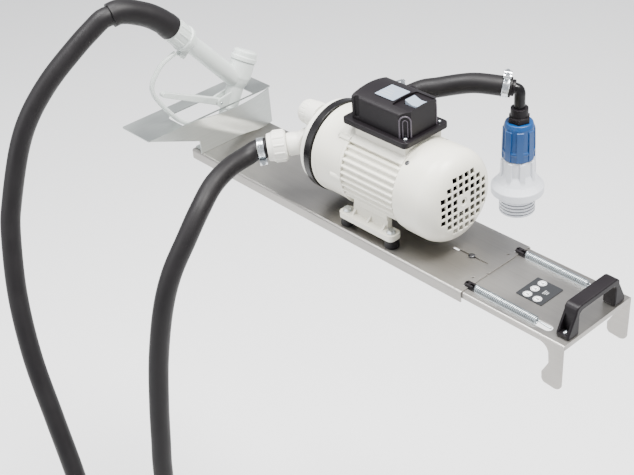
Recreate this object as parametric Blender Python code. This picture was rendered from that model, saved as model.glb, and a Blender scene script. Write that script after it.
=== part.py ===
"""Electric drum pump on a sprung bracket, with its suction hose, delivery hose and hand nozzle.

Metres, +Z up. X runs along the bracket towards its sliding end, Y runs across it, and the
origin is the middle of the bracket on the plane of the drum rim that it rests on.
"""

from math import atan2, ceil, cos, pi, radians, sin, sqrt

import bmesh
import bpy
from mathutils import Matrix, Vector

GAP = 0.0003

# Bracket
SHEET = 0.0015
PLATE_TOP = 0.0155
PLATE_WIDTH = 0.131
PLATE_LEFT = -0.386
PLATE_RIGHT = 0.147
PLATE_BEND = 0.003
SLOT_START = 0.077
SLOT_END = 0.1325
SLOT_WIDTH = 0.005
PIN_X = 0.107
CATCH_X = -0.303
CATCH_DEPTH = 0.030

# Sliding end
SLIDE_TOP = PLATE_TOP - SHEET - GAP
SLIDE_WIDTH = PLATE_WIDTH - 2 * (SHEET + 2 * GAP)
SLIDE_LEFT = 0.085
SLIDE_RIGHT = 0.2987
SLIDE_FLANGE = 0.0055
SPRING_Y = 0.0475
SPRING_Z = 0.0150
SPRING_RADIUS = 0.0050
SPRING_LEFT = 0.1560
SPRING_RIGHT = 0.2480
SPRING_SLOT_LEFT = 0.108
SPRING_SLOT_RIGHT = 0.2700
SPRING_SLOT_WIDTH = 0.011

# Handle
HANDLE_X = 0.2880
HANDLE_DEPTH = 0.0180
HANDLE_LENGTH = 0.1055
HANDLE_TOP = 0.0535
HANDLE_LEG = 0.0190
HANDLE_BAR = 0.0085

# Motor
AXIS_Z = 0.0907
MOTOR_RADIUS = 0.0618
FOOT_CENTRE_X = -0.0238
FOOT_PITCH_X = 0.080
FOOT_PITCH_Y = 0.100
MOUNT_HEIGHT = 0.0122
FOOT_THICK = 0.0080
RING_LEFT = -0.1305
RING_RIGHT = -0.1190
RING_RADIUS = 0.0632
SHIELD_LEFT = RING_RIGHT + GAP
SHIELD_RIGHT = -0.0613
HOUSING_RIGHT = 0.0303
COVER_LEFT = 0.0306
COVER_RIGHT = 0.0944
COVER_ROUND = 0.0271
COVER_WALL = 0.0020
FIN_COUNT = 36
GRILLE_PITCH = 0.0103
GRILLE_HOLE = 0.0064

# Switch box
BOX_X = -0.0205
BOX_LENGTH = 0.1120
BOX_WIDTH = 0.0790
BOX_BOTTOM = 0.1572
BASE_THICK = 0.0080
LID_X = -0.0163
LID_LENGTH = 0.0925
LID_WIDTH = 0.0650
LID_SHOULDER = 0.1975
LID_CROWN = 0.2030
ROCKER_X = 0.0180
ROCKER_LENGTH = 0.0220
ROCKER_WIDTH = 0.0170

# Pump head
HEAD_LEFT = -0.1420
HEAD_RADIUS = 0.0600
COVER_HEAD_LEFT = -0.1600
COVER_HEAD_RADIUS = 0.0440

# Drum coupling
COUPLER_X = 0.0279
COUPLER_Y = 0.1842
COUPLER_BASE = -0.0060
HOSE_RADIUS = 0.01375

# Nozzle, in its holder
NOZZLE_X = -0.385
NOZZLE_START = Vector((NOZZLE_X, -0.0717, 0.2117))
NOZZLE_AXIS = Vector((0.0, 0.65, -0.76)).normalized()
SPOUT_AXIS = Vector((0.0, 0.495, 0.869)).normalized()
BONNET_TOP = Vector((NOZZLE_X, 0.0541, 0.1326))
HOLDER_X = -0.362
HOLDER_TOP = 0.0724
HOLDER_FRONT = -0.151
HOLDER_BACK = 0.0755
HOLDER_LEFT = -0.430

# Delivery hose below the bracket
FLOOR = -0.930
COIL_RADIUS = 0.140
COIL_STEP = 0.0290
COIL_HEIGHT = 0.0580
COIL_X = -0.095
COIL_Y = -0.495
DOWN_ANGLE = 108.0
UP_ANGLE = 156.0


# ---------------------------------------------------------------- materials


def material(name, color, roughness, metallic=0.0, alpha=1.0):
    """A Principled material with one colour."""
    made = bpy.data.materials.new(name)
    made.use_nodes = True
    shader = made.node_tree.nodes["Principled BSDF"]
    shader.inputs["Base Color"].default_value = (*color, 1.0)
    shader.inputs["Roughness"].default_value = roughness
    shader.inputs["Metallic"].default_value = metallic
    shader.inputs["Alpha"].default_value = alpha
    made.diffuse_color = (*color, 1.0)
    return made


def make_materials():
    return {
        "stainless": material("stainless", (0.62, 0.61, 0.59), 0.32, 1.0),
        "zinc": material("zinc", (0.72, 0.73, 0.74), 0.28, 1.0),
        "white_paint": material("white_paint", (0.86, 0.85, 0.80), 0.38),
        "black_plastic": material("black_plastic", (0.022, 0.018, 0.022), 0.42),
        "grey_plastic": material("grey_plastic", (0.62, 0.64, 0.66), 0.45),
        "white_plastic": material("white_plastic", (0.80, 0.82, 0.84), 0.42),
        "blue_plastic": material("blue_plastic", (0.010, 0.170, 0.480), 0.35),
        "clear_plastic": material("clear_plastic", (0.84, 0.86, 0.84), 0.35),
        "rubber": material("rubber", (0.020, 0.020, 0.021), 0.60),
        "label": material("label", (0.060, 0.065, 0.070), 0.50),
        "steel": material("steel", (0.45, 0.45, 0.46), 0.40, 1.0),
        "copper": material("copper", (0.55, 0.25, 0.12), 0.40, 1.0),
        "aluminium": material("aluminium", (0.70, 0.70, 0.71), 0.40, 1.0),
    }


# ---------------------------------------------------------------- shape helpers


def add_object(name, bm, look, location=(0, 0, 0), rotation=None):
    """Turns a bmesh into a named object with one material."""
    bmesh.ops.recalc_face_normals(bm, faces=bm.faces)
    mesh = bpy.data.meshes.new(name)
    bm.to_mesh(mesh)
    bm.free()
    if look is not None:
        mesh.materials.append(look)
    made = bpy.data.objects.new(name, mesh)
    made.location = location
    if rotation is not None:
        made.rotation_mode = "QUATERNION"
        made.rotation_quaternion = rotation
    bpy.context.scene.collection.objects.link(made)
    return made


def prism(outline, low, high, axis="Z"):
    """The closed outline, in the two other axes' order, extruded along one axis."""
    bm = bmesh.new()
    place = {
        "X": lambda a, b, c: (c, a, b),
        "Y": lambda a, b, c: (a, c, b),
        "Z": lambda a, b, c: (a, b, c),
    }[axis]
    lower = [bm.verts.new(place(a, b, low)) for a, b in outline]
    upper = [bm.verts.new(place(a, b, high)) for a, b in outline]
    bm.faces.new(lower)
    bm.faces.new(upper)
    for i in range(len(outline)):
        j = (i + 1) % len(outline)
        bm.faces.new((lower[i], lower[j], upper[j], upper[i]))
    return bm


def box(size, centre):
    """A box of that size round a centre."""
    x, y, z = (side / 2 for side in size)
    outline = [(-x, -y), (x, -y), (x, y), (-x, y)]
    bm = prism(outline, -z, z)
    bmesh.ops.translate(bm, verts=bm.verts, vec=centre)
    return bm


def arc(x, y, radius, start, end, steps):
    """Points on an arc, its angles in degrees, both ends included."""
    angles = [radians(start + (end - start) * i / steps) for i in range(steps + 1)]
    return [(x + radius * cos(a), y + radius * sin(a)) for a in angles]


def rounded(width, depth, radius, steps=4, x=0.0, y=0.0):
    """A rectangle with round corners."""
    outline = []
    for sx, sy, start in ((1, 1, 0), (-1, 1, 90), (-1, -1, 180), (1, -1, 270)):
        corner_x = x + sx * (width / 2 - radius)
        corner_y = y + sy * (depth / 2 - radius)
        outline += arc(corner_x, corner_y, radius, start, start + 90, steps)
    return outline


def turned(profile, segments=32):
    """A profile of (radius, height) turned about Z. It closes on itself unless it starts at radius 0."""
    bm = bmesh.new()
    rings = []
    for radius, height in profile:
        if radius == 0.0:
            rings.append([bm.verts.new((0.0, 0.0, height))])
            continue
        turns = [2 * pi * i / segments for i in range(segments)]
        rings.append([bm.verts.new((radius * cos(t), radius * sin(t), height)) for t in turns])
    closes = len(rings[0]) > 1
    pairs = list(zip(rings, rings[1:] + rings[:1]))
    for lower, upper in pairs if closes else pairs[:-1]:
        for i in range(segments):
            j = (i + 1) % segments
            corners = [lower[i % len(lower)], lower[j % len(lower)]]
            corners += [upper[j % len(upper)], upper[i % len(upper)]]
            bm.faces.new(list(dict.fromkeys(corners)))
    return bm


def rod(radius, length, segments=24, chamfer=0.0):
    """A round bar from 0 to length along Z."""
    if chamfer:
        profile = [(0.0, 0.0), (radius - chamfer, 0.0), (radius, chamfer)]
        profile += [(radius, length - chamfer), (radius - chamfer, length), (0.0, length)]
    else:
        profile = [(0.0, 0.0), (radius, 0.0), (radius, length), (0.0, length)]
    return turned(profile, segments)


def pipe(outer, inner, length, segments=32, chamfer=0.0):
    """A tube from 0 to length along Z."""
    profile = [(inner, 0.0), (outer - chamfer, 0.0), (outer, chamfer)]
    profile += [(outer, length - chamfer), (outer - chamfer, length), (inner, length)]
    if not chamfer:
        profile = [(inner, 0.0), (outer, 0.0), (outer, length), (inner, length)]
    return turned(profile, segments)


def facing(direction):
    """The rotation that turns Z to a direction."""
    return Vector(direction).to_track_quat("Z", "Y")


ALONG_X = Vector((1, 0, 0)).to_track_quat("Z", "Y")


def boolean(target, bm, operation, name):
    """Cuts a shape from an object, or joins it on. The helper object stays, hidden."""
    helper = add_object(name, bm, None)
    helper.hide_render = True
    helper.display_type = "WIRE"
    modifier = target.modifiers.new(name, "BOOLEAN")
    modifier.object = helper
    modifier.operation = operation
    modifier.solver = "EXACT"
    return helper


def moved(bm, location=(0, 0, 0), rotation=None):
    """The same bmesh, turned and then moved."""
    turn = rotation.to_matrix().to_4x4() if rotation is not None else Matrix()
    bmesh.ops.transform(bm, matrix=Matrix.Translation(location) @ turn, verts=bm.verts)
    return bm


def merged(pieces):
    """Several closed shapes in one bmesh, for one helper that cuts them all."""
    whole = bmesh.new()
    for piece in pieces:
        mesh = bpy.data.meshes.new("piece")
        bmesh.ops.recalc_face_normals(piece, faces=piece.faces)
        piece.to_mesh(mesh)
        piece.free()
        whole.from_mesh(mesh)
        bpy.data.meshes.remove(mesh)
    return whole


def smooth_route(points, spacing):
    """Points on a Catmull-Rom curve through the route's own points, about a spacing apart."""
    ends = [points[0] * 2 - points[1]] + list(points) + [points[-1] * 2 - points[-2]]
    route = []
    for a, b, c, d in zip(ends, ends[1:], ends[2:], ends[3:]):
        steps = max(1, ceil((c - b).length / spacing))
        for i in range(steps):
            t = i / steps
            value = b * 2 + (c - a) * t + (a * 2 - b * 5 + c * 4 - d) * t**2
            value += (b * 3 - a - c * 3 + d) * t**3
            route.append(value / 2)
    return route + [points[-1]]


def tube(name, route, radius, look, sides=3):
    """A solid tube along a route."""
    curve = bpy.data.curves.new(name, "CURVE")
    curve.dimensions = "3D"
    curve.bevel_depth = radius
    curve.bevel_resolution = sides
    curve.use_fill_caps = True
    spline = curve.splines.new("POLY")
    spline.points.add(len(route) - 1)
    for point, place in zip(spline.points, route):
        point.co = (*place, 1.0)
    curve.materials.append(look)
    made = bpy.data.objects.new(name, curve)
    bpy.context.scene.collection.objects.link(made)
    return made


def empty(name, location):
    """A frame that moving pieces hang from."""
    made = bpy.data.objects.new(name, None)
    made.location = location
    made.empty_display_size = 0.02
    bpy.context.scene.collection.objects.link(made)
    return made


def parent_to(frame, *pieces):
    """Parents pieces to a frame and keeps them where they are."""
    bpy.context.view_layer.update()
    for piece in pieces:
        piece.parent = frame
        piece.matrix_parent_inverse = frame.matrix_world.inverted()


# ---------------------------------------------------------------- bracket


def channel_outline(width, top, bottom, bend):
    """The section of a channel that opens downwards, as (y, z)."""
    half = width / 2
    inner = bend - SHEET
    outline = [(half, bottom)]
    outline += arc(half - bend, top - bend, bend, 0, 90, 3)
    outline += arc(-half + bend, top - bend, bend, 90, 180, 3)
    outline += [(-half, bottom), (-half + SHEET, bottom)]
    outline += arc(-half + bend, top - bend, inner, 180, 90, 3)
    outline += arc(half - bend, top - bend, inner, 90, 0, 3)
    outline += [(half - SHEET, bottom)]
    return outline


def foot_places():
    """The four foot bolts, as (x, y)."""
    for sx in (-1, 1):
        for sy in (-1, 1):
            yield FOOT_CENTRE_X + sx * FOOT_PITCH_X / 2, sy * FOOT_PITCH_Y / 2


def make_main_plate(looks):
    outline = channel_outline(PLATE_WIDTH, PLATE_TOP, 0.0, PLATE_BEND)
    plate = add_object("main_plate", prism(outline, PLATE_LEFT, PLATE_RIGHT, "X"), looks["stainless"])
    low, high = PLATE_TOP - 0.004, PLATE_TOP + 0.004
    middle = (SLOT_START + SLOT_END) / 2
    slot = rounded(SLOT_END - SLOT_START, SLOT_WIDTH, SLOT_WIDTH / 2 - 0.00005, 4, middle)
    cuts = [prism(slot, low, high)]
    for side in (-1, 1):
        notch = rounded(0.0300, 0.0100, 0.0010, 2, PLATE_RIGHT + 0.0070, side * SPRING_Y)
        cuts.append(prism(notch, low, high))
        hole = moved(rod(0.0016, 0.008, 12), (0.1380, side * 0.0330, low))
        cuts.append(hole)
    for x, y in foot_places():
        cuts.append(moved(rod(0.0035, 0.008, 16), (x, y, low)))
    boolean(plate, merged(cuts), "DIFFERENCE", "main_plate_cuts")
    depth = CATCH_DEPTH + PLATE_TOP - 0.0005
    catch = box((SHEET, 0.060, depth), (CATCH_X, 0.0, PLATE_TOP - 0.0005 - depth / 2))
    boolean(plate, catch, "UNION", "main_plate_catch")


def hook_outline():
    """A side of the sliding end with its hook, as (x, z)."""
    top = SLIDE_TOP - GAP
    outline = [(SLIDE_LEFT, top), (SLIDE_LEFT, SLIDE_FLANGE), (0.2640, SLIDE_FLANGE)]
    outline += arc(0.2640, -0.0085, 0.0140, 75, 10, 4)
    outline += [(0.2786, -0.0205)]
    outline += [(0.2693, -0.0385)]
    outline += arc(0.2773, -0.0453, 0.0078, 170, 240, 3)
    outline += arc(0.2880, -0.0430, 0.0103, 270, 350, 4)
    outline += [(SLIDE_RIGHT, top)]
    return outline


def make_slide(looks):
    """The telescoping end with its two hooks and the slots that the springs lie in."""
    half = SLIDE_WIDTH / 2
    sheet = box(
        (SLIDE_RIGHT - SLIDE_LEFT, SLIDE_WIDTH - SHEET, SHEET),
        ((SLIDE_LEFT + SLIDE_RIGHT) / 2, 0.0, SLIDE_TOP - SHEET / 2),
    )
    plate = add_object("slide_plate", sheet, looks["stainless"])
    for side, word in ((-1, "front"), (1, "back")):
        flange = prism(hook_outline(), half - SHEET, half, "Y")
        if side < 0:
            bmesh.ops.scale(flange, vec=(1, -1, 1), verts=flange.verts)
        boolean(plate, flange, "UNION", f"slide_plate_flange_{word}")
    lip = box((SHEET, SLIDE_WIDTH - 0.004, 0.0070), (SLIDE_RIGHT - 0.00105, 0.0, SLIDE_TOP - 0.0037))
    boolean(plate, lip, "UNION", "slide_plate_lip")
    length = SPRING_SLOT_RIGHT - SPRING_SLOT_LEFT
    middle = (SPRING_SLOT_LEFT + SPRING_SLOT_RIGHT) / 2
    slots = []
    for side in (-1, 1):
        outline = rounded(length, SPRING_SLOT_WIDTH, 0.0054, 4, middle, side * SPRING_Y)
        slots.append(prism(outline, SLIDE_TOP - 0.004, SLIDE_TOP + 0.004))
    boolean(plate, merged(slots), "DIFFERENCE", "slide_plate_slots")
    return plate


def make_springs(looks):
    """The two extension springs as solids of their outer shape, with their end hooks."""
    made = []
    for side, word in ((-1, "front"), (1, "back")):
        length = SPRING_RIGHT - SPRING_LEFT
        wire = 0.0009
        end = SPRING_SLOT_RIGHT - 0.0006 - SPRING_LEFT
        profile = [(0.0, -0.0024), (wire, -0.0024), (wire, -0.0003), (SPRING_RADIUS, 0.0)]
        profile += [(SPRING_RADIUS, length), (wire, length + 0.0003), (wire, end), (0.0, end)]
        place = (SPRING_LEFT, side * SPRING_Y, SPRING_Z)
        made.append(add_object(f"spring_{word}", turned(profile, 14), looks["zinc"], place, ALONG_X))
    return made


def make_anchors(looks):
    """The black clips on the main plate that hold the springs' fixed ends."""
    for side, word in ((-1, "front"), (1, "back")):
        y = side * SPRING_Y
        clip = box((0.0130, 0.0090, 0.0140), (0.1467, y, 0.0117))
        made = add_object(f"spring_anchor_{word}", clip, looks["black_plastic"])
        bevel = made.modifiers.new("edges", "BEVEL")
        bevel.width = 0.0008
        bevel.segments = 2


def make_handle(looks):
    """The bridge handle that pulls the sliding end out."""
    half = HANDLE_LENGTH / 2
    bottom = SLIDE_TOP + GAP
    leg_top = HANDLE_TOP - HANDLE_BAR
    outline = [(half, bottom)]
    outline += arc(half - 0.0150, HANDLE_TOP - 0.0140, 0.0140, 15, 90, 5)
    outline += arc(-half + 0.0150, HANDLE_TOP - 0.0140, 0.0140, 90, 165, 5)
    outline += [(-half, bottom), (-half + HANDLE_LEG, bottom)]
    outline += arc(-half + HANDLE_LEG + 0.0060, leg_top - 0.0060, 0.0060, 180, 90, 3)
    outline += arc(half - HANDLE_LEG - 0.0060, leg_top - 0.0060, 0.0060, 90, 0, 3)
    outline += [(half - HANDLE_LEG, bottom)]
    body = prism(outline, -HANDLE_DEPTH / 2, HANDLE_DEPTH / 2, "X")
    handle = add_object("handle", body, looks["black_plastic"], (HANDLE_X, 0, 0))
    wells = []
    for side in (-1, 1):
        place = (HANDLE_X - 0.0070, side * (half - 0.0110), 0.0220)
        wells.append(moved(rod(0.0046, 0.060, 16), place))
    boolean(handle, merged(wells), "DIFFERENCE", "handle_screw_wells")
    bevel = handle.modifiers.new("edges", "BEVEL")
    bevel.width = 0.0018
    bevel.segments = 2
    bevel.angle_limit = radians(50)
    bevel.limit_method = "ANGLE"
    return handle


def make_slide_trim(looks):
    """The label on the sliding end and the pin that guides it in the main plate's slot."""
    outline = rounded(0.0385, 0.0420, 0.0015, 2, 0.2140, -0.0003)
    label = add_object(
        "label_plate", prism(outline, SLIDE_TOP + GAP, SLIDE_TOP + 0.0009), looks["label"]
    )
    low = SLIDE_TOP + GAP
    head = PLATE_TOP + GAP
    profile = [(0.0, low), (0.0020, low), (0.0020, head), (0.0044, head)]
    profile += [(0.0044, head + 0.0012), (0.0034, head + 0.0020), (0.0, head + 0.0020)]
    pin = add_object("guide_pin", turned(profile, 20), looks["black_plastic"], (PIN_X, 0, 0))
    return [label, pin]


def holder_edge(z):
    """The holder wall's front edge at a height: upright at the plate, then out to the tray's corner."""
    start = 0.0370
    if z < start:
        return -PLATE_WIDTH / 2
    share = (z - start) / (HOLDER_TOP - start)
    return -PLATE_WIDTH / 2 + share * (HOLDER_FRONT + PLATE_WIDTH / 2)


def holder_bulge(y, z):
    """How far the pocket's wall stands forward: round above a diagonal crease, flat below it."""
    crease = (y + 0.0871) * 0.0566 + (z - HOLDER_TOP) * 0.0940
    rise = min(1.0, max(0.0, crease / 0.0032))
    rise = rise * rise * (3 - 2 * rise)
    across = max(0.0, 1 - ((y - 0.002) / 0.066) ** 2)
    return 0.0030 * rise + 0.0100 * rise * across


def make_holder(looks):
    """The nozzle holder: a foot on the plate, an upright wall with a round pocket, and a tray behind."""
    columns, rows = 16, 8
    bottom = PLATE_TOP + GAP
    top = HOLDER_TOP - 0.0003
    bm = bmesh.new()
    front, back = [], []
    for r in range(rows + 1):
        z = bottom + (top - bottom) * r / rows
        left = holder_edge(z)
        right = 0.0690 + (HOLDER_BACK - 0.0070 - 0.0690) * r / rows
        front_row, back_row = [], []
        for c in range(columns + 1):
            y = left + (right - left) * c / columns
            x = HOLDER_X + holder_bulge(y, z)
            front_row.append(bm.verts.new((x, y, z)))
            back_row.append(bm.verts.new((x - SHEET, y, z)))
        front.append(front_row)
        back.append(back_row)
    for r in range(rows):
        for c in range(columns):
            for grid in (front, back):
                bm.faces.new((grid[r][c], grid[r][c + 1], grid[r + 1][c + 1], grid[r + 1][c]))
    rim = [(0, c) for c in range(columns)] + [(r, columns) for r in range(rows)]
    rim += [(rows, c) for c in range(columns, 0, -1)] + [(r, 0) for r in range(rows, 0, -1)]
    for (r, c), (s, d) in zip(rim, rim[1:] + rim[:1]):
        bm.faces.new((front[r][c], front[s][d], back[s][d], back[r][c]))
    holder = add_object("nozzle_holder", bm, looks["stainless"])
    tray_depth = HOLDER_X - 0.0004 - HOLDER_LEFT
    tray_width = HOLDER_BACK - HOLDER_FRONT
    tray = box(
        (tray_depth, tray_width, SHEET),
        (HOLDER_LEFT + tray_depth / 2, HOLDER_FRONT + tray_width / 2, HOLDER_TOP - SHEET / 2),
    )
    boolean(holder, tray, "UNION", "nozzle_holder_tray")
    foot = box((0.0230, 0.1200, SHEET), (HOLDER_X - 0.0122, 0.0, bottom + SHEET / 2 + 0.0001))
    boolean(holder, foot, "UNION", "nozzle_holder_foot")
    slot_width = 0.1330
    slot = rounded(0.0500, slot_width, 0.0120, 3, HOLDER_X - SHEET - 0.0170, -0.0235)
    opening = prism(slot, HOLDER_TOP - 0.0030, HOLDER_TOP + 0.0030)
    for vertex in opening.verts:
        if vertex.co.x > HOLDER_X - SHEET - 0.0006:
            vertex.co.x = HOLDER_X - SHEET - 0.0006
    bmesh.ops.remove_doubles(opening, verts=opening.verts, dist=0.0001)
    boolean(holder, opening, "DIFFERENCE", "nozzle_holder_slot")


# ---------------------------------------------------------------- motor


def make_feet(looks):
    """Foot rails, rubber mounts and bolts."""
    foot_low = PLATE_TOP + MOUNT_HEIGHT
    foot_high = foot_low + FOOT_THICK
    for side, word in ((-1, "front"), (1, "back")):
        outline = rounded(0.0980, 0.0210, 0.0060, 3, FOOT_CENTRE_X, side * 0.0495)
        foot = add_object(f"motor_foot_{word}", prism(outline, foot_low, foot_high), looks["white_paint"])
        web = box((0.0620, 0.0072, 0.0130), (FOOT_CENTRE_X, side * 0.0429, foot_high + 0.0058))
        boolean(foot, web, "UNION", f"foot_web_{word}")
        holes = []
        for x, y in foot_places():
            if y * side > 0:
                holes.append(moved(rod(0.0035, 0.020, 12), (x, y, foot_low - 0.005)))
        boolean(foot, merged(holes), "DIFFERENCE", f"foot_holes_{word}")
    for number, (x, y) in enumerate(foot_places(), 1):
        low = PLATE_TOP + GAP
        rubber = pipe(0.0100, 0.0034, MOUNT_HEIGHT - 2 * GAP, 20, 0.0008)
        add_object(f"rubber_mount_{number}", rubber, looks["rubber"], (x, y, low))
        nut_top = PLATE_TOP - SHEET - GAP
        head = foot_high + GAP
        profile = [(0.0, nut_top - 0.0045), (0.0060, nut_top - 0.0045), (0.0060, nut_top)]
        profile += [(0.0029, nut_top), (0.0029, head), (0.0064, head), (0.0064, head + 0.0030)]
        profile += [(0.0050, head + 0.0042), (0.0, head + 0.0042)]
        add_object(f"foot_bolt_{number}", turned(profile, 12), looks["zinc"], (x, y, 0))


def make_housing(looks):
    """The finned motor frame, with flats for the feet and a pad for the switch box."""
    root, tip = 0.0577, 0.0617
    pitch = 360 / FIN_COUNT
    outline = []
    for i in range(FIN_COUNT):
        middle = -30 + pitch * (i + 0.5)
        if middle > 210:
            continue
        if 60 < middle < 120:
            outline += [(root * cos(radians(middle)), root * sin(radians(middle)))]
            continue
        for radius, turn in ((root, -2.6), (tip, -1.5), (tip, 1.5), (root, 2.6)):
            angle = radians(middle + turn)
            outline.append((radius * cos(angle), radius * sin(angle)))
    outline += arc(0.0, 0.0, root, 216, 324, 12)
    length = HOUSING_RIGHT - (SHIELD_RIGHT + GAP)
    place = (SHIELD_RIGHT + GAP, 0.0, AXIS_Z)
    housing = add_object("motor_housing", prism(outline, 0.0, length, "X"), looks["white_paint"], place)
    pad_top = BOX_BOTTOM - GAP
    pad = box((length - 0.006, 0.0640, 0.0240), (place[0] + length / 2, 0.0, pad_top - 0.0120))
    boolean(housing, pad, "UNION", "housing_pad")
    flat = PLATE_TOP + MOUNT_HEIGHT + FOOT_THICK + 0.0123 + GAP
    for side, word in ((-1, "front"), (1, "back")):
        block = box((0.0600, 0.0110, 0.0150), (FOOT_CENTRE_X, side * 0.0415, flat + 0.0075))
        boolean(housing, block, "UNION", f"housing_flat_{word}")
    bore = moved(rod(0.0500, length, 32), (place[0] - 0.006, 0, AXIS_Z), ALONG_X)
    boolean(housing, bore, "DIFFERENCE", "housing_bore")
    seat = moved(rod(0.0163, 0.030, 24), (HOUSING_RIGHT - 0.020, 0, AXIS_Z), ALONG_X)
    boolean(housing, seat, "DIFFERENCE", "housing_seat")


def make_motor_insides(looks):
    """Shield, stator, rotor, shaft, bearings and fan. The rotor's frame is on the shaft's axis."""
    spin = empty("rotor_frame", (0, 0, AXIS_Z))
    length = SHIELD_RIGHT - SHIELD_LEFT
    profile = [(0.0165, 0.0), (0.0598, 0.0), (0.0615, 0.0017), (0.0615, length), (0.0500, length)]
    profile += [(0.0480, 0.0120), (0.0230, 0.0080), (0.0215, 0.0180), (0.0165, 0.0180)]
    place = (SHIELD_LEFT, 0, AXIS_Z)
    shield = add_object("front_shield", turned(profile, 32), looks["white_paint"], place, ALONG_X)
    bosses = []
    for angle in (-50, 40, 130, 220):
        y, z = 0.0580 * cos(radians(angle)), 0.0580 * sin(radians(angle))
        boss = rod(0.0062, 0.0200, 12, 0.0015)
        bosses.append(moved(boss, (length - 0.0202, 0, 0), ALONG_X))
        bmesh.ops.translate(bosses[-1], verts=bosses[-1].verts, vec=(SHIELD_LEFT, y, AXIS_Z + z))
    boolean(shield, merged(bosses), "UNION", "shield_bosses")
    shield_bore = moved(rod(0.0480, 0.0500, 24), (SHIELD_RIGHT - 0.0400, 0, AXIS_Z), ALONG_X)
    boolean(shield, shield_bore, "DIFFERENCE", "shield_bore")
    stator = pipe(0.0495, 0.0305, 0.0660, 24)
    add_object("stator", stator, looks["copper"], (-0.0480, 0, AXIS_Z), ALONG_X)
    for name, x in (("bearing_front", SHIELD_LEFT + 0.0040), ("bearing_rear", 0.0190)):
        bearing = pipe(0.0160, 0.0068, 0.0110, 20)
        add_object(name, bearing, looks["steel"], (x, 0, AXIS_Z), ALONG_X)
    rotor = pipe(0.0300, 0.0070, 0.0620, 24)
    rotor = add_object("rotor", rotor, looks["steel"], (-0.0460, 0, AXIS_Z), ALONG_X)
    shaft = add_object("shaft", rod(0.0065, 0.1980, 16, 0.0008), looks["steel"], (-0.1330, 0, AXIS_Z), ALONG_X)
    fan = pipe(0.0120, 0.0068, 0.0200, 20)
    fan = add_object("fan", fan, looks["black_plastic"], (0.0400, 0, AXIS_Z), ALONG_X)
    disc = moved(pipe(0.0480, 0.0110, 0.0020, 24), (0.0420, 0, AXIS_Z), ALONG_X)
    boolean(fan, disc, "UNION", "fan_disc")
    for i in range(6):
        blade = box((0.0185, 0.0380, 0.0016), (0.0505, 0.0275, 0.0))
        turn = Matrix.Rotation(radians(60 * i + 5), 4, "X")
        bmesh.ops.transform(blade, matrix=turn, verts=blade.verts)
        bmesh.ops.translate(blade, verts=blade.verts, vec=(0, 0, AXIS_Z))
        boolean(fan, blade, "UNION", f"fan_blade_{i + 1}")
    parent_to(spin, rotor, shaft, fan)
    return spin


def make_fan_cover(looks):
    """The cup over the fan, with its grid of square holes."""
    length = COVER_RIGHT - COVER_LEFT
    flat = MOTOR_RADIUS - COVER_ROUND
    shoulder = length - COVER_ROUND
    outer = [(0.0, length)] + arc(flat, shoulder, COVER_ROUND, 90, 0, 4) + [(MOTOR_RADIUS, 0.0)]
    inner_round = COVER_ROUND - COVER_WALL
    inner = [(MOTOR_RADIUS - COVER_WALL, 0.0)]
    inner += arc(flat, shoulder, inner_round, 0, 90, 4) + [(0.0, length - COVER_WALL)]
    place = (COVER_LEFT, 0, AXIS_Z)
    cover = add_object("fan_cover", turned(outer + inner, 32), looks["white_paint"], place, ALONG_X)
    holes = []
    for row in range(8):
        for column in range(8):
            y = (column - 3.5) * GRILLE_PITCH
            z = (row - 3.5) * GRILLE_PITCH
            distance = sqrt(y * y + z * z)
            if distance > 0.0402 or distance < 0.0080:
                continue
            hole = box((0.030, GRILLE_HOLE, GRILLE_HOLE), (COVER_RIGHT - 0.008, y, AXIS_Z + z))
            holes.append(hole)
    boolean(cover, merged(holes), "DIFFERENCE", "cover_grille")


# ---------------------------------------------------------------- switch box


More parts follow.
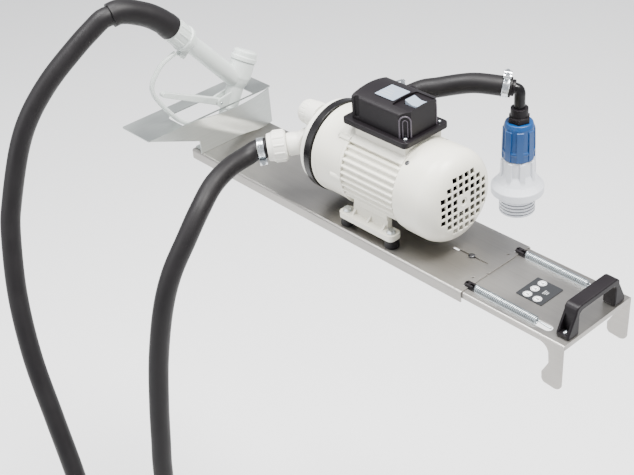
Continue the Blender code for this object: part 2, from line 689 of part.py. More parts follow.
def make_box(looks):
    """The switch box: base, lid, rocker, capacitor and cable gland."""
    base_top = BOX_BOTTOM + BASE_THICK
    outline = rounded(BOX_LENGTH, BOX_WIDTH, 0.0070, 3, BOX_X, 0)
    base = add_object("box_base", prism(outline, BOX_BOTTOM, base_top), looks["black_plastic"])
    pocket = prism(rounded(0.0880, 0.0580, 0.0040, 2, LID_X, 0), BOX_BOTTOM + 0.003, base_top + 0.004)
    boolean(base, pocket, "DIFFERENCE", "box_base_pocket")

    half = LID_WIDTH / 2
    low = base_top + GAP
    lid_outline = [(half, low), (half, LID_SHOULDER)]
    steps = 8
    for i in range(1, steps):
        y = half * (1 - 2 * i / steps)
        lid_outline.append((y, LID_SHOULDER + (LID_CROWN - LID_SHOULDER) * (1 - (y / half) ** 2)))
    lid_outline += [(-half, LID_SHOULDER), (-half, low)]
    left, right = LID_X - LID_LENGTH / 2, LID_X + LID_LENGTH / 2
    lid = add_object("box_lid", prism(lid_outline, left, right, "X"), looks["black_plastic"])
    hollow = box((LID_LENGTH - 0.0140, LID_WIDTH - 0.0140, 0.0300), (LID_X, 0, low + 0.0290 - 0.0150))
    boolean(lid, hollow, "DIFFERENCE", "box_lid_hollow")
    corners = []
    for sx in (-1, 1):
        for sy in (-1, 1):
            x = left + 0.0085 if sx < 0 else right - 0.0085
            well = moved(rod(0.0040, 0.0500, 12), (x, sy * (half + 0.0004), low + 0.0040))
            corners.append(well)
    boolean(lid, merged(corners), "DIFFERENCE", "box_lid_screw_wells")
    recess = box((0.0313, 0.0440, 0.0200), (0.01365, 0, 0.1990 + 0.0100))
    boolean(lid, recess, "DIFFERENCE", "box_lid_recess")
    panel = box((0.0330, 0.0300, 0.0020), (-0.0205, -0.0020, LID_CROWN - 0.0002))
    boolean(lid, panel, "DIFFERENCE", "box_lid_label_recess")
    window = box((0.0234, ROCKER_WIDTH + 0.0012, 0.0200), (ROCKER_X - 0.0004, 0, 0.1960))
    boolean(lid, window, "DIFFERENCE", "box_lid_window")

    profile = [(-0.0105, -0.0015), (0.0105, -0.0015), (0.0108, 0.0070), (0.0, 0.0060), (-0.0108, 0.0096)]
    body = prism(profile, -ROCKER_WIDTH / 2, ROCKER_WIDTH / 2, "Y")
    add_object("rocker_switch", body, looks["grey_plastic"], (ROCKER_X, 0, 0.1950))
    can = rod(0.0115, 0.0560, 20, 0.0010)
    add_object("capacitor", can, looks["white_plastic"], (LID_X - 0.0360, 0.0080, 0.1748), ALONG_X)
    profile = [(0.0, 0.0), (0.0100, 0.0), (0.0100, 0.0060), (0.0085, 0.0070), (0.0085, 0.0150)]
    profile += [(0.0055, 0.0190), (0.0, 0.0190)]
    gland_place = (LID_X - 0.0180, half + GAP, 0.1800)
    gland = turned(profile, 16)
    add_object("cable_gland", gland, looks["black_plastic"], gland_place, facing((0, 1, 0)))


# ---------------------------------------------------------------- pump head


def make_pump(looks, spin):
    """Adapter ring, pump head, its cover, and the ports with their fittings."""
    ring = pipe(RING_RADIUS, 0.0300, RING_RIGHT - RING_LEFT, 36, 0.0008)
    add_object("adapter_ring", ring, looks["black_plastic"], (RING_LEFT, 0, AXIS_Z), ALONG_X)
    length = RING_LEFT - GAP - HEAD_LEFT
    profile = [(0.0320, 0.0), (HEAD_RADIUS - 0.0020, 0.0), (HEAD_RADIUS, 0.0030)]
    profile += [(HEAD_RADIUS, length), (0.0320, length)]
    add_object("pump_head", turned(profile, 36), looks["white_plastic"], (HEAD_LEFT, 0, AXIS_Z), ALONG_X)

    cover_right = HEAD_LEFT - GAP
    thick = cover_right - COVER_HEAD_LEFT
    profile = [(0.0, 0.0), (COVER_HEAD_RADIUS - 0.004, 0.0), (COVER_HEAD_RADIUS, 0.004)]
    profile += [(COVER_HEAD_RADIUS, thick), (0.0, thick)]
    place = (COVER_HEAD_LEFT, 0, AXIS_Z)
    cover = add_object("head_cover", turned(profile, 28), looks["white_plastic"], place, ALONG_X)
    cap_place = (COVER_HEAD_LEFT, -0.0135, 0.1305)
    lobe = moved(rod(0.0185, thick - 0.001, 24), (cap_place[0], cap_place[1], cap_place[2]), ALONG_X)
    boolean(cover, lobe, "UNION", "head_cover_lobe")
    profile = [(0.0, 0.0), (0.0110, 0.0), (0.0155, 0.0030), (0.0170, 0.0080)]
    profile += [(0.0170, 0.0190), (0.0, 0.0190)]
    cap_place = (COVER_HEAD_LEFT - GAP - 0.0190, -0.0135, 0.1305)
    add_object("bypass_cap", turned(profile, 28), looks["white_plastic"], cap_place, ALONG_X)
    add_object("diaphragm", rod(0.0310, 0.0030, 24), looks["rubber"], (-0.1400, 0, AXIS_Z), ALONG_X)
    eccentric = turned([(0.0068, 0.0), (0.0150, 0.0), (0.0150, 0.0060), (0.0068, 0.0060)], 20)
    eccentric = add_object("eccentric", eccentric, looks["steel"], (-0.1310, 0, AXIS_Z), ALONG_X)
    parent_to(spin, eccentric)


def make_outlet(looks, hose_start):
    """The angled delivery port and its union nut, up to the hose's end."""
    face = COVER_HEAD_LEFT - GAP
    root = Vector((face - 0.0060, -0.0265, AXIS_Z))
    direction = (hose_start - root).normalized()
    reach = (hose_start - root).length - 3 * GAP
    nut_length = 0.0260
    back = reach - nut_length - GAP
    profile = [(0.0, 0.0), (0.0160, 0.0), (0.0160, back), (0.0115, back), (0.0115, reach)]
    profile += [(0.0, reach)]
    elbow = add_object("outlet_elbow", turned(profile, 28), looks["white_plastic"], root, facing(direction))
    flange = moved(rod(0.0190, 0.0120, 28, 0.0010), (face - 0.0120, root.y, AXIS_Z), ALONG_X)
    boolean(elbow, flange, "UNION", "outlet_flange")
    trim = box((0.0400, 0.1000, 0.1000), (face + 0.0200, root.y, AXIS_Z))
    boolean(elbow, trim, "DIFFERENCE", "outlet_trim")
    nut = pipe(0.0222, 0.0118, nut_length, 24, 0.0020)
    nut_place = root + direction * (back + GAP)
    add_object("outlet_nut", nut, looks["white_plastic"], nut_place, facing(direction))


def make_inlet(looks, hose_start):
    """The suction port on the far side: a short bent fitting that ends in the hose."""
    foot = Vector((-0.1540, COVER_HEAD_RADIUS + GAP, AXIS_Z))
    heel = Vector((-0.1540, 0.0590, AXIS_Z))
    corner = Vector((-0.1540, 0.0730, 0.1040))
    knee = Vector((-0.1210, 0.0775, 0.1235))
    end = hose_start - (hose_start - knee).normalized() * GAP
    first = heel - foot
    inlet = add_object("inlet_elbow", rod(0.0080, first.length, 14), looks["white_plastic"], foot, facing(first))
    pieces = ((heel, corner, 0.0080), (corner, knee, 0.0112), (knee, end, 0.0118))
    for number, (start, stop, radius) in enumerate(pieces, 1):
        run = stop - start
        boolean(inlet, moved(rod(radius, run.length, 14), start, facing(run)), "UNION", f"inlet_run_{number}")
    for number, (place, radius) in enumerate(((heel, 0.0086), (corner, 0.0121), (knee, 0.0131)), 1):
        ball = bmesh.new()
        bmesh.ops.create_icosphere(ball, subdivisions=1, radius=radius)
        boolean(inlet, moved(ball, place), "UNION", f"inlet_ball_{number}")
    collar = moved(rod(0.0165, 0.0090, 16), knee + (end - knee) * 0.45, facing(end - knee))
    boolean(inlet, collar, "UNION", "inlet_collar")


def make_clamp(name, looks, place, direction, outward):
    """A worm-drive clamp round a hose: band, housing and screw in one piece."""
    inner = HOSE_RADIUS + 2 * GAP
    rotation = facing(direction)
    band = moved(pipe(inner + 0.0014, inner, 0.0090, 20), (0, 0, -0.0045))
    clamp = add_object(name, band, looks["zinc"], place, rotation)
    side = Vector(outward).normalized()
    side = (side - direction * side.dot(direction)).normalized()
    across = direction.cross(side)
    frame = Matrix((across, direction, side)).transposed().to_4x4()
    housing = box((0.0140, 0.0110, 0.0080), (0, 0, inner + 0.0046))
    bmesh.ops.transform(housing, matrix=Matrix.Translation(place) @ frame, verts=housing.verts)
    boolean(clamp, housing, "UNION", f"{name}_housing")
    screw = moved(rod(0.0038, 0.0210, 12), (-0.0130, 0, inner + 0.0050), ALONG_X)
    bmesh.ops.transform(screw, matrix=Matrix.Translation(place) @ frame, verts=screw.verts)
    boolean(clamp, screw, "UNION", f"{name}_screw")
    return clamp


# ---------------------------------------------------------------- drum coupling


def make_coupling(looks):
    """The flange in the drum's bung, its turning sleeve, and the fittings up to the suction hose."""
    place = (COUPLER_X, COUPLER_Y, 0)
    base = COUPLER_BASE
    profile = [(0.0, base - 0.0300), (0.0250, base - 0.0300), (0.0250, base), (0.0340, base)]
    profile += [(0.0366, base + 0.0040), (0.0366, 0.0045), (0.0350, 0.0075), (0.0215, 0.0299)]
    profile += [(0.0205, 0.0485), (0.0110, 0.0485), (0.0110, 0.1030), (0.0, 0.1030)]
    flange = add_object("drum_flange", turned(profile, 24), looks["white_plastic"], place)
    for i in range(8):
        turn = Matrix.Translation(place) @ Matrix.Rotation(radians(45 * i + 10), 4, "Z")
        rib = box((0.0130, 0.0030, 0.0400), (0.0175, 0, 0.0260))
        bmesh.ops.transform(rib, matrix=turn, verts=rib.verts)
        boolean(flange, rib, "UNION", f"flange_rib_{i + 1}")

    low = 0.0485 + GAP
    profile = [(0.0113, low), (0.0224, low), (0.0224, 0.0610), (0.0212, 0.0640), (0.0205, 0.0958)]
    profile += [(0.0165, 0.1032), (0.0113, 0.1032)]
    sleeve = add_object("coupling_sleeve", turned(profile, 24), looks["blue_plastic"], place)
    ribs = []
    for i in range(8):
        turn = Matrix.Translation(place) @ Matrix.Rotation(radians(45 * i), 4, "Z")
        rib = box((0.0030, 0.0034, 0.0410), (0.0205, 0, 0.0735))
        bmesh.ops.transform(rib, matrix=turn, verts=rib.verts)
        ribs.append(rib)
    boolean(sleeve, merged(ribs), "UNION", "coupling_sleeve_ribs")

    profile = [(0.0, 0.1035), (0.0145, 0.1035), (0.0145, 0.1102), (0.0120, 0.1102)]
    profile += [(0.0120, 0.1236), (0.0, 0.1236)]
    add_object("hex_adapter", turned(profile, 12), looks["black_plastic"], place)

    leg_bottom, corner_z, leg = 0.1236 + GAP, 0.1501, 0.0069
    elbow = turned([(0.0, leg_bottom), (leg, leg_bottom), (leg, corner_z), (0.0, corner_z)], 20)
    elbow = add_object("coupler_elbow", elbow, looks["black_plastic"], place)
    corner = Vector((COUPLER_X, COUPLER_Y, corner_z))
    ball = bmesh.new()
    bmesh.ops.create_icosphere(ball, subdivisions=2, radius=leg + 0.0007)
    boolean(elbow, moved(ball, corner), "UNION", "coupler_elbow_corner")
    direction = (suction_points()[0] - corner).normalized()
    stub = rod(0.0082, (suction_points()[0] - corner).length - GAP, 20)
    boolean(elbow, moved(stub, corner, facing(direction)), "UNION", "coupler_elbow_stub")


def suction_points():
    """The suction hose's route, from the drum coupling to the pump."""
    return [
        Vector((0.0190, 0.1773, 0.1524)),
        Vector((0.0074, 0.1682, 0.1548)),
        Vector((-0.0163, 0.1499, 0.1581)),
        Vector((-0.0340, 0.1362, 0.1563)),
        Vector((-0.0580, 0.1176, 0.1507)),
        Vector((-0.0728, 0.1061, 0.1475)),
        Vector((-0.0887, 0.0921, 0.1389)),
        Vector((-0.1000, 0.0870, 0.1335)),
    ]


# ---------------------------------------------------------------- nozzle


def along(start, direction, distance, aside=0.0):
    """A point in the nozzle's plane, along a direction and square to it."""
    square = Vector((0.0, direction.z, -direction.y))
    return start + direction * distance + square * aside


def make_nozzle(looks):
    """The hand nozzle in its holder. All of it hangs from one frame, as it lifts off in one piece."""
    frame = empty("nozzle_frame", BONNET_TOP)
    look = looks["clear_plastic"]
    nut_end = 0.0330
    barrel_length = 0.1500
    start = along(NOZZLE_START, NOZZLE_AXIS, nut_end + GAP)
    barrel = rod(0.0145, barrel_length - nut_end, 28)
    body = add_object("nozzle_body", barrel, look, start, facing(NOZZLE_AXIS))
    down = -SPOUT_AXIS
    cap_length = 0.0160
    top = BONNET_TOP + down * (cap_length + GAP)
    profile = [(0.0, 0.0), (0.0185, 0.0), (0.0185, 0.0250), (0.0130, 0.0400), (0.0130, 0.0700)]
    profile += [(0.0125, 0.0880), (0.0095, 0.0880), (0.0095, 0.0500), (0.0, 0.0500)]
    valve = moved(turned(profile, 28), top, facing(down))
    boolean(body, valve, "UNION", "nozzle_valve")
    lug_place = along(NOZZLE_START, NOZZLE_AXIS, nut_end + 0.0075, 0.0140)
    lug = moved(box((0.0110, 0.0210, 0.0110), (0, 0, 0)), lug_place, facing(NOZZLE_AXIS))
    boolean(body, lug, "UNION", "nozzle_lug")
    for side in (-1, 1):
        cheek_outline = arc(-0.0080, 0.0720, 0.0070, 100, 250, 5) + [(0.0180, 0.0610), (0.0200, 0.0830)]
        low, high = sorted((NOZZLE_X + side * 0.0053, NOZZLE_X + side * 0.0083))
        boolean(body, prism(cheek_outline, low, high, "X"), "UNION", f"nozzle_cheek_{side + 1}")

    nut = pipe(0.0178, 0.0100, nut_end, 28, 0.0015)
    nut = add_object("nozzle_nut", nut, look, NOZZLE_START, facing(NOZZLE_AXIS))
    profile = [(0.0, 0.0), (0.0150, 0.0), (0.0190, 0.0035), (0.0190, cap_length), (0.0, cap_length)]
    bonnet = add_object("nozzle_bonnet", turned(profile, 28), look, BONNET_TOP, facing(down))

    guard_route = [(-0.0705, 0.1730), (-0.0880, 0.1680), (-0.1028, 0.1590), (-0.1165, 0.1410)]
    guard_route += [(-0.1149, 0.1215), (-0.0945, 0.0876), (-0.0749, 0.0648), (-0.0450, 0.0480)]
    guard_route += [(-0.0150, 0.0450)]
    points = [Vector((NOZZLE_X, y, z)) for y, z in guard_route]
    guard = tube("trigger_guard", smooth_route(points, 0.012), 0.0035, look, 2)

    pivot = Vector((NOZZLE_X, -0.0080, 0.0720))
    tip = (-0.1010, 0.1200)
    angle = atan2(tip[1] - pivot.z, tip[0] - pivot.y)
    reach = sqrt((tip[0] - pivot.y) ** 2 + (tip[1] - pivot.z) ** 2)
    outline = arc(0.0, 0.0, 0.0055, 90, 270, 5) + arc(reach, 0.0, 0.0040, -90, 90, 5)
    turned_outline = []
    for a, b in outline:
        y = a * cos(angle) - b * sin(angle)
        z = a * sin(angle) + b * cos(angle)
        turned_outline.append((y, z))
    lever = add_object("trigger_lever", prism(turned_outline, -0.0048, 0.0048, "X"), look, pivot)

    sleeve = sleeve_tube(looks)
    parent_to(frame, body, nut, bonnet, guard, lever, sleeve)


def sleeve_points():
    """The rubber sleeve's route, from the nozzle's nut to the delivery hose."""
    return [
        Vector((-0.3850, -0.0720, 0.2120)),
        Vector((-0.3850, -0.0795, 0.2208)),
        Vector((-0.3870, -0.0860, 0.2275)),
        Vector((-0.3900, -0.0985, 0.2374)),
        Vector((-0.3930, -0.1117, 0.2448)),
        Vector((-0.3965, -0.1280, 0.2520)),
        Vector((-0.3995, -0.1415, 0.2552)),
        Vector((-0.4020, -0.1530, 0.2535)),
    ]


def sleeve_tube(looks):
    """The rubber sleeve over the hose's end, a little wider at the nozzle."""
    route = smooth_route(sleeve_points(), 0.012)
    sleeve = tube("hose_sleeve", route, 0.0172, looks["rubber"], 2)
    points = sleeve.data.splines[0].points
    for i, point in enumerate(points):
        point.radius = 1.075 - 0.075 * min(1.0, 2.0 * i / len(points))
    return sleeve


# ---------------------------------------------------------------- delivery hose


def coil_place(radius, degrees, z):
    """A point over the coil, at a radius and an angle about its centre."""
    angle = radians(degrees)
    return Vector((COIL_X + radius * cos(angle), COIL_Y + radius * sin(angle), z))


def down_points():
    """The delivery hose from the pump's outlet down to the coil."""
    return [
        Vector((-0.2000, -0.0670, 0.0868)),
        Vector((-0.2083, -0.0770, 0.0855)),
        Vector((-0.2124, -0.0950, 0.0805)),
        Vector((-0.2099, -0.1250, 0.0785)),
        Vector((-0.2011, -0.1620, 0.0710)),
        Vector((-0.1884, -0.1980, 0.0530)),
        Vector((-0.1831, -0.2280, 0.0250)),
        Vector((-0.1834, -0.2580, -0.0136)),
        Vector((-0.1836, -0.2800, -0.0603)),
        Vector((-0.1823, -0.3000, -0.1275)),
        Vector((-0.1771, -0.3150, -0.1911)),
        Vector((-0.1696, -0.3280, -0.2513)),
        Vector((-0.1638, -0.3380, -0.3073)),
        Vector((-0.1550, -0.3480, -0.4300)),
        Vector((-0.1500, -0.3430, -0.5800)),
        coil_place(COIL_RADIUS + COIL_STEP, DOWN_ANGLE, -0.7200),
        coil_place(COIL_RADIUS + COIL_STEP, DOWN_ANGLE, FLOOR + COIL_HEIGHT + GAP),
    ]


def up_points():
    """The delivery hose from the coil up and over to the nozzle's sleeve."""
    return [
        coil_place(COIL_RADIUS, UP_ANGLE, FLOOR + COIL_HEIGHT + GAP),
        coil_place(COIL_RADIUS, UP_ANGLE, -0.7400),
        Vector((-0.2230, -0.4370, -0.6000)),
        Vector((-0.2260, -0.4340, -0.4700)),
        Vector((-0.2410, -0.4280, -0.3900)),
        Vector((-0.2700, -0.4189, -0.3222)),
        Vector((-0.3120, -0.4100, -0.2473)),
        Vector((-0.3550, -0.4009, -0.1633)),
        Vector((-0.3900, -0.3846, -0.0812)),
        Vector((-0.4130, -0.3618, 0.0011)),
        Vector((-0.4200, -0.3453, 0.0440)),
        Vector((-0.4240, -0.3162, 0.1085)),
        Vector((-0.4220, -0.2898, 0.1517)),
        Vector((-0.4180, -0.2520, 0.1905)),
        Vector((-0.4120, -0.2073, 0.2241)),
        Vector((-0.4080, -0.1808, 0.2415)),
        Vector((-0.4045, -0.1646, 0.2516)),
        Vector((-0.4021, -0.1534, 0.2534)),
    ]


def make_hoses(looks):
    """Both hoses. The unseen length of the delivery hose lies in a coil on the floor."""
    suction = smooth_route(suction_points(), 0.014)
    tube("suction_hose", suction, HOSE_RADIUS - 0.00025, looks["rubber"], 2)
    tube("hose_down", smooth_route(down_points(), 0.060), HOSE_RADIUS - 0.0005, looks["rubber"], 2)
    tube("hose_up", smooth_route(up_points(), 0.060), HOSE_RADIUS - 0.0005, looks["rubber"], 2)
    radius = COIL_RADIUS
    half = HOSE_RADIUS
    low = FLOOR
    high = FLOOR + COIL_HEIGHT
    inner = radius - half
    outer = radius + COIL_STEP + half
    edge = 0.005
    profile = [(inner, low + edge), (inner + edge, low), (outer - edge, low), (outer, low + edge)]
    profile += [(outer, high - edge), (outer - edge, high), (inner + edge, high), (inner, high - edge)]
    add_object("hose_coil", turned(profile, 28), looks["rubber"], (COIL_X, COIL_Y, 0))


def main():
    for old in list(bpy.data.objects):
        bpy.data.objects.remove(old, do_unlink=True)
    looks = make_materials()
    make_main_plate(looks)
    make_holder(looks)
    make_anchors(looks)
    slide = make_slide(looks)
    springs = make_springs(looks)
    handle = make_handle(looks)
    trim = make_slide_trim(looks)
    slide_frame = empty("slide_frame", (SLIDE_LEFT, 0, 0))
    parent_to(slide_frame, slide, handle, *trim)
    make_feet(looks)
    make_housing(looks)
    spin = make_motor_insides(looks)
    make_fan_cover(looks)
    make_box(looks)
    make_pump(looks, spin)
    make_outlet(looks, down_points()[0])
    make_inlet(looks, suction_points()[-1])
    make_coupling(looks)
    make_nozzle(looks)
    make_hoses(looks)
    route = down_points()
    start = (route[1] - route[0]).normalized()
    make_clamp("clamp_outlet", looks, route[0] + start * 0.0080, start, (0.3, -0.2, -0.9))
    route = suction_points()
    start = (route[1] - route[0]).normalized()
    make_clamp("clamp_coupler", looks, route[0] + start * 0.0080, start, (0.1, 0.1, 1.0))
    start = (route[-2] - route[-1]).normalized()
    make_clamp("clamp_inlet", looks, route[-1] + start * 0.0070, start, (0.0, 0.3, 1.0))


main()
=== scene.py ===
from math import atan2, ceil, cos, pi, radians, sin, sqrt

import bmesh
import bpy
from mathutils import Matrix, Vector


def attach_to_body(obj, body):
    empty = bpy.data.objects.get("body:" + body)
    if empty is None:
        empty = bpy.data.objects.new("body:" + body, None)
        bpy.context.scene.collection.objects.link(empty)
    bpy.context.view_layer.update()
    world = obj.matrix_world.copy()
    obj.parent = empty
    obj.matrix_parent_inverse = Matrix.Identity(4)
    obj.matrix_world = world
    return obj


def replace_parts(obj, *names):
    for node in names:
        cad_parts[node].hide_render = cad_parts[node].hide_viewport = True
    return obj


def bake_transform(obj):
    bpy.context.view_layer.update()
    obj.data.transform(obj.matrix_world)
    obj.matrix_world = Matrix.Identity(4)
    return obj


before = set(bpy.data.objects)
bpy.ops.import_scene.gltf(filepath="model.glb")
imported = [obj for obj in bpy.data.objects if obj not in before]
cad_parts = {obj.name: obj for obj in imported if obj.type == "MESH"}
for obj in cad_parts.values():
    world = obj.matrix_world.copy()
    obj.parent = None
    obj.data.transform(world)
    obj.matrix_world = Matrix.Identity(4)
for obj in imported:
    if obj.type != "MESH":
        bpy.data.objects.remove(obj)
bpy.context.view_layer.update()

GAP = 0.0003
AXIS_Z = 0.0907
HOSE_RADIUS = 0.01375


# ---------------------------------------------------------------- shape helpers


def add_object(name, bm, look, body="frame", location=(0, 0, 0), rotation=None, sharp=32.0):
    """Turns a bmesh into a smooth-shaded piece that rides on a body."""
    bmesh.ops.recalc_face_normals(bm, faces=bm.faces)
    mesh = bpy.data.meshes.new(name)
    bm.to_mesh(mesh)
    bm.free()
    mesh.shade_smooth()
    mesh.set_sharp_from_angle(angle=radians(sharp))
    if look is not None:
        mesh.materials.append(look)
    made = bpy.data.objects.new(name, mesh)
    made.matrix_world = Matrix.Translation(location) @ turn_matrix(rotation)
    bpy.context.scene.collection.objects.link(made)
    if body:
        pending.append((made, body))
    return made


pending = []


def turn_matrix(rotation):
    return rotation.to_matrix().to_4x4() if rotation is not None else Matrix()


def moved(bm, location=(0, 0, 0), rotation=None):
    """The same bmesh, turned and then moved."""
    matrix = Matrix.Translation(location) @ turn_matrix(rotation)
    bmesh.ops.transform(bm, matrix=matrix, verts=bm.verts)
    return bm


def placed(bm, matrix):
    """The same bmesh through a matrix."""
    bmesh.ops.transform(bm, matrix=matrix, verts=bm.verts)
    return bm


def baked(piece):
    """Moves a piece's place into its mesh."""
    piece.data.transform(piece.matrix_world)
    piece.matrix_world = Matrix()
    return piece


def merged(pieces):
    """Several closed shapes in one bmesh."""
    whole = bmesh.new()
    for piece in pieces:
        mesh = bpy.data.meshes.new("piece")
        bmesh.ops.recalc_face_normals(piece, faces=piece.faces)
        piece.to_mesh(mesh)
        piece.free()
        whole.from_mesh(mesh)
        bpy.data.meshes.remove(mesh)
    return whole


def settle(piece, sharp=32.0):
    """Applies a piece's modifiers, so that only its mesh is left."""
    bpy.context.view_layer.update()
    graph = bpy.context.evaluated_depsgraph_get()
    mesh = bpy.data.meshes.new_from_object(piece.evaluated_get(graph))
    old = piece.data
    piece.modifiers.clear()
    piece.data = mesh
    if old.users == 0:
        bpy.data.meshes.remove(old)
    mesh.shade_smooth()
    mesh.set_sharp_from_angle(angle=radians(sharp))
    return piece


def carve(piece, bm, operation="DIFFERENCE"):
    """Cuts a shape from a piece, or joins it on, at once."""
    helper = add_object("helper", bm, None, None)
    modifier = piece.modifiers.new("carve", "BOOLEAN")
    modifier.object = helper
    modifier.operation = operation
    modifier.solver = "EXACT"
    settle(piece)
    bpy.data.objects.remove(helper, do_unlink=True)
    return piece


def join_on(piece, bm):
    """Joins a shape on to a piece."""
    return carve(piece, bm, "UNION")


def soften(piece, width, segments=2, angle=40.0):
    """Rounds a piece's sharp edges."""
    bevel = piece.modifiers.new("edges", "BEVEL")
    bevel.width = width
    bevel.segments = segments
    bevel.limit_method = "ANGLE"
    bevel.angle_limit = radians(angle)
    bevel.use_clamp_overlap = True
    bevel.miter_outer = "MITER_ARC"
    return settle(piece)


def prism(outline, low, high, axis="Z"):
    """The closed outline, in the two other axes' order, extruded along one axis."""
    bm = bmesh.new()
    place = {
        "X": lambda a, b, c: (c, a, b),
        "Y": lambda a, b, c: (a, c, b),
        "Z": lambda a, b, c: (a, b, c),
    }[axis]
    lower = [bm.verts.new(place(a, b, low)) for a, b in outline]
    upper = [bm.verts.new(place(a, b, high)) for a, b in outline]
    bm.faces.new(lower)
    bm.faces.new(upper)
    for i in range(len(outline)):
        j = (i + 1) % len(outline)
        bm.faces.new((lower[i], lower[j], upper[j], upper[i]))
    return bm


def box(size, centre):
    """A box of that size round a centre."""
    x, y, z = (side / 2 for side in size)
    bm = prism([(-x, -y), (x, -y), (x, y), (-x, y)], -z, z)
    bmesh.ops.translate(bm, verts=bm.verts, vec=centre)
    return bm


def arc(x, y, radius, start, end, steps):
    """Points on an arc, its angles in degrees, both ends included."""
    angles = [radians(start + (end - start) * i / steps) for i in range(steps + 1)]
    return [(x + radius * cos(a), y + radius * sin(a)) for a in angles]


def rounded(width, depth, radius, steps=6, x=0.0, y=0.0):
    """A rectangle with round corners."""
    outline = []
    for sx, sy, start in ((1, 1, 0), (-1, 1, 90), (-1, -1, 180), (1, -1, 270)):
        corner_x = x + sx * (width / 2 - radius)
        corner_y = y + sy * (depth / 2 - radius)
        outline += arc(corner_x, corner_y, radius, start, start + 90, steps)
    return outline


def turned(profile, segments=64):
    """A profile of (radius, height) turned about Z. It closes on itself unless it starts at radius 0."""
    bm = bmesh.new()
    rings = []
    for radius, height in profile:
        if radius == 0.0:
            rings.append([bm.verts.new((0.0, 0.0, height))])
            continue
        turns = [2 * pi * i / segments for i in range(segments)]
        rings.append([bm.verts.new((radius * cos(t), radius * sin(t), height)) for t in turns])
    closes = len(rings[0]) > 1
    pairs = list(zip(rings, rings[1:] + rings[:1]))
    for lower, upper in pairs if closes else pairs[:-1]:
        for i in range(segments):
            j = (i + 1) % segments
            corners = [lower[i % len(lower)], lower[j % len(lower)]]
            corners += [upper[j % len(upper)], upper[i % len(upper)]]
            bm.faces.new(list(dict.fromkeys(corners)))
    return bm


def eased(profile, radius=0.0006, steps=3):
    """A turned profile with each inner corner rounded off."""
    if radius == 0:
        return profile
    soft = [profile[0]]
    for before, corner, after in zip(profile, profile[1:], profile[2:]):
        p, q, r = (Vector(v) for v in (before, corner, after))
        reach = min(radius, (q - p).length * 0.45, (r - q).length * 0.45)
        start = q + (p - q).normalized() * reach
        end = q + (r - q).normalized() * reach
        for i in range(steps + 1):
            t = i / steps
            soft.append(tuple(start * (1 - t) ** 2 + q * 2 * t * (1 - t) + end * t * t))
    return soft + [profile[-1]]


def rod(radius, length, segments=48, edge=0.0006):
    """A round bar from 0 to length along Z, its ends' edges rounded."""
    return turned(eased([(0.0, 0.0), (radius, 0.0), (radius, length), (0.0, length)], edge), segments)


def tube_ring(outer, inner, length, segments=64, edge=0.0006):
    """A ring from 0 to length along Z, its outer edges rounded."""
    profile = [(inner, 0.0), (outer, 0.0), (outer, length), (inner, length)]
    return turned(eased(profile, edge), segments)


def facing(direction):
    """The rotation that turns Z to a direction."""
    return Vector(direction).to_track_quat("Z", "Y")


ALONG_X = Vector((1, 0, 0)).to_track_quat("Z", "Y")


def about_axle(degrees):
    """The turn by an angle round the motor's axle."""
    return Matrix.Translation((0, 0, AXIS_Z)) @ Matrix.Rotation(radians(degrees), 4, "X")


def hexagon(radius, turn):
    """A hexagon's corners, turned by an angle in degrees."""
    return [(radius * cos(radians(60 * i + turn)), radius * sin(radians(60 * i + turn))) for i in range(6)]


def add_grips(nut, count, bar, start, direction):
    """Joins grips on to a nut, evenly round it. The bar is a grip's radius, length, sides and place."""
    radius, length, sides, place = bar
    for i in range(count):
        grip = moved(rod(radius, length, sides, 0.0008), place)
        around = Matrix.Rotation(radians(360 / count * i), 3, "Z")
        bmesh.ops.rotate(grip, cent=(0, 0, 0), matrix=around, verts=grip.verts)
        join_on(nut, moved(grip, start, facing(direction)))


def smooth_route(points, spacing):
    """Points on a Catmull-Rom curve through the route's own points, about a spacing apart."""
    ends = [points[0] * 2 - points[1]] + list(points) + [points[-1] * 2 - points[-2]]
    route = []
    for a, b, c, d in zip(ends, ends[1:], ends[2:], ends[3:]):
        steps = max(1, ceil((c - b).length / spacing))
        for i in range(steps):
            t = i / steps
            value = b * 2 + (c - a) * t + (a * 2 - b * 5 + c * 4 - d) * t**2
            value += (b * 3 - a - c * 3 + d) * t**3
            route.append(value / 2)
    return route + [points[-1]]


def tube(name, route, radius, look, body="frame", sides=6, widths=None):
    """A round solid tube along a route, as a curve."""
    curve = bpy.data.curves.new(name, "CURVE")
    curve.dimensions = "3D"
    curve.bevel_depth = radius
    curve.bevel_resolution = sides
    curve.use_fill_caps = True
    spline = curve.splines.new("POLY")
    spline.points.add(len(route) - 1)
    spline.use_smooth = True
    for i, (point, place) in enumerate(zip(spline.points, route)):
        point.co = (*place, 1.0)
        if widths:
            point.radius = widths(i / (len(route) - 1))
    curve.materials.append(look)
    made = bpy.data.objects.new(name, curve)
    bpy.context.scene.collection.objects.link(made)
    if body:
        pending.append((made, body))
    return made


# ---------------------------------------------------------------- materials


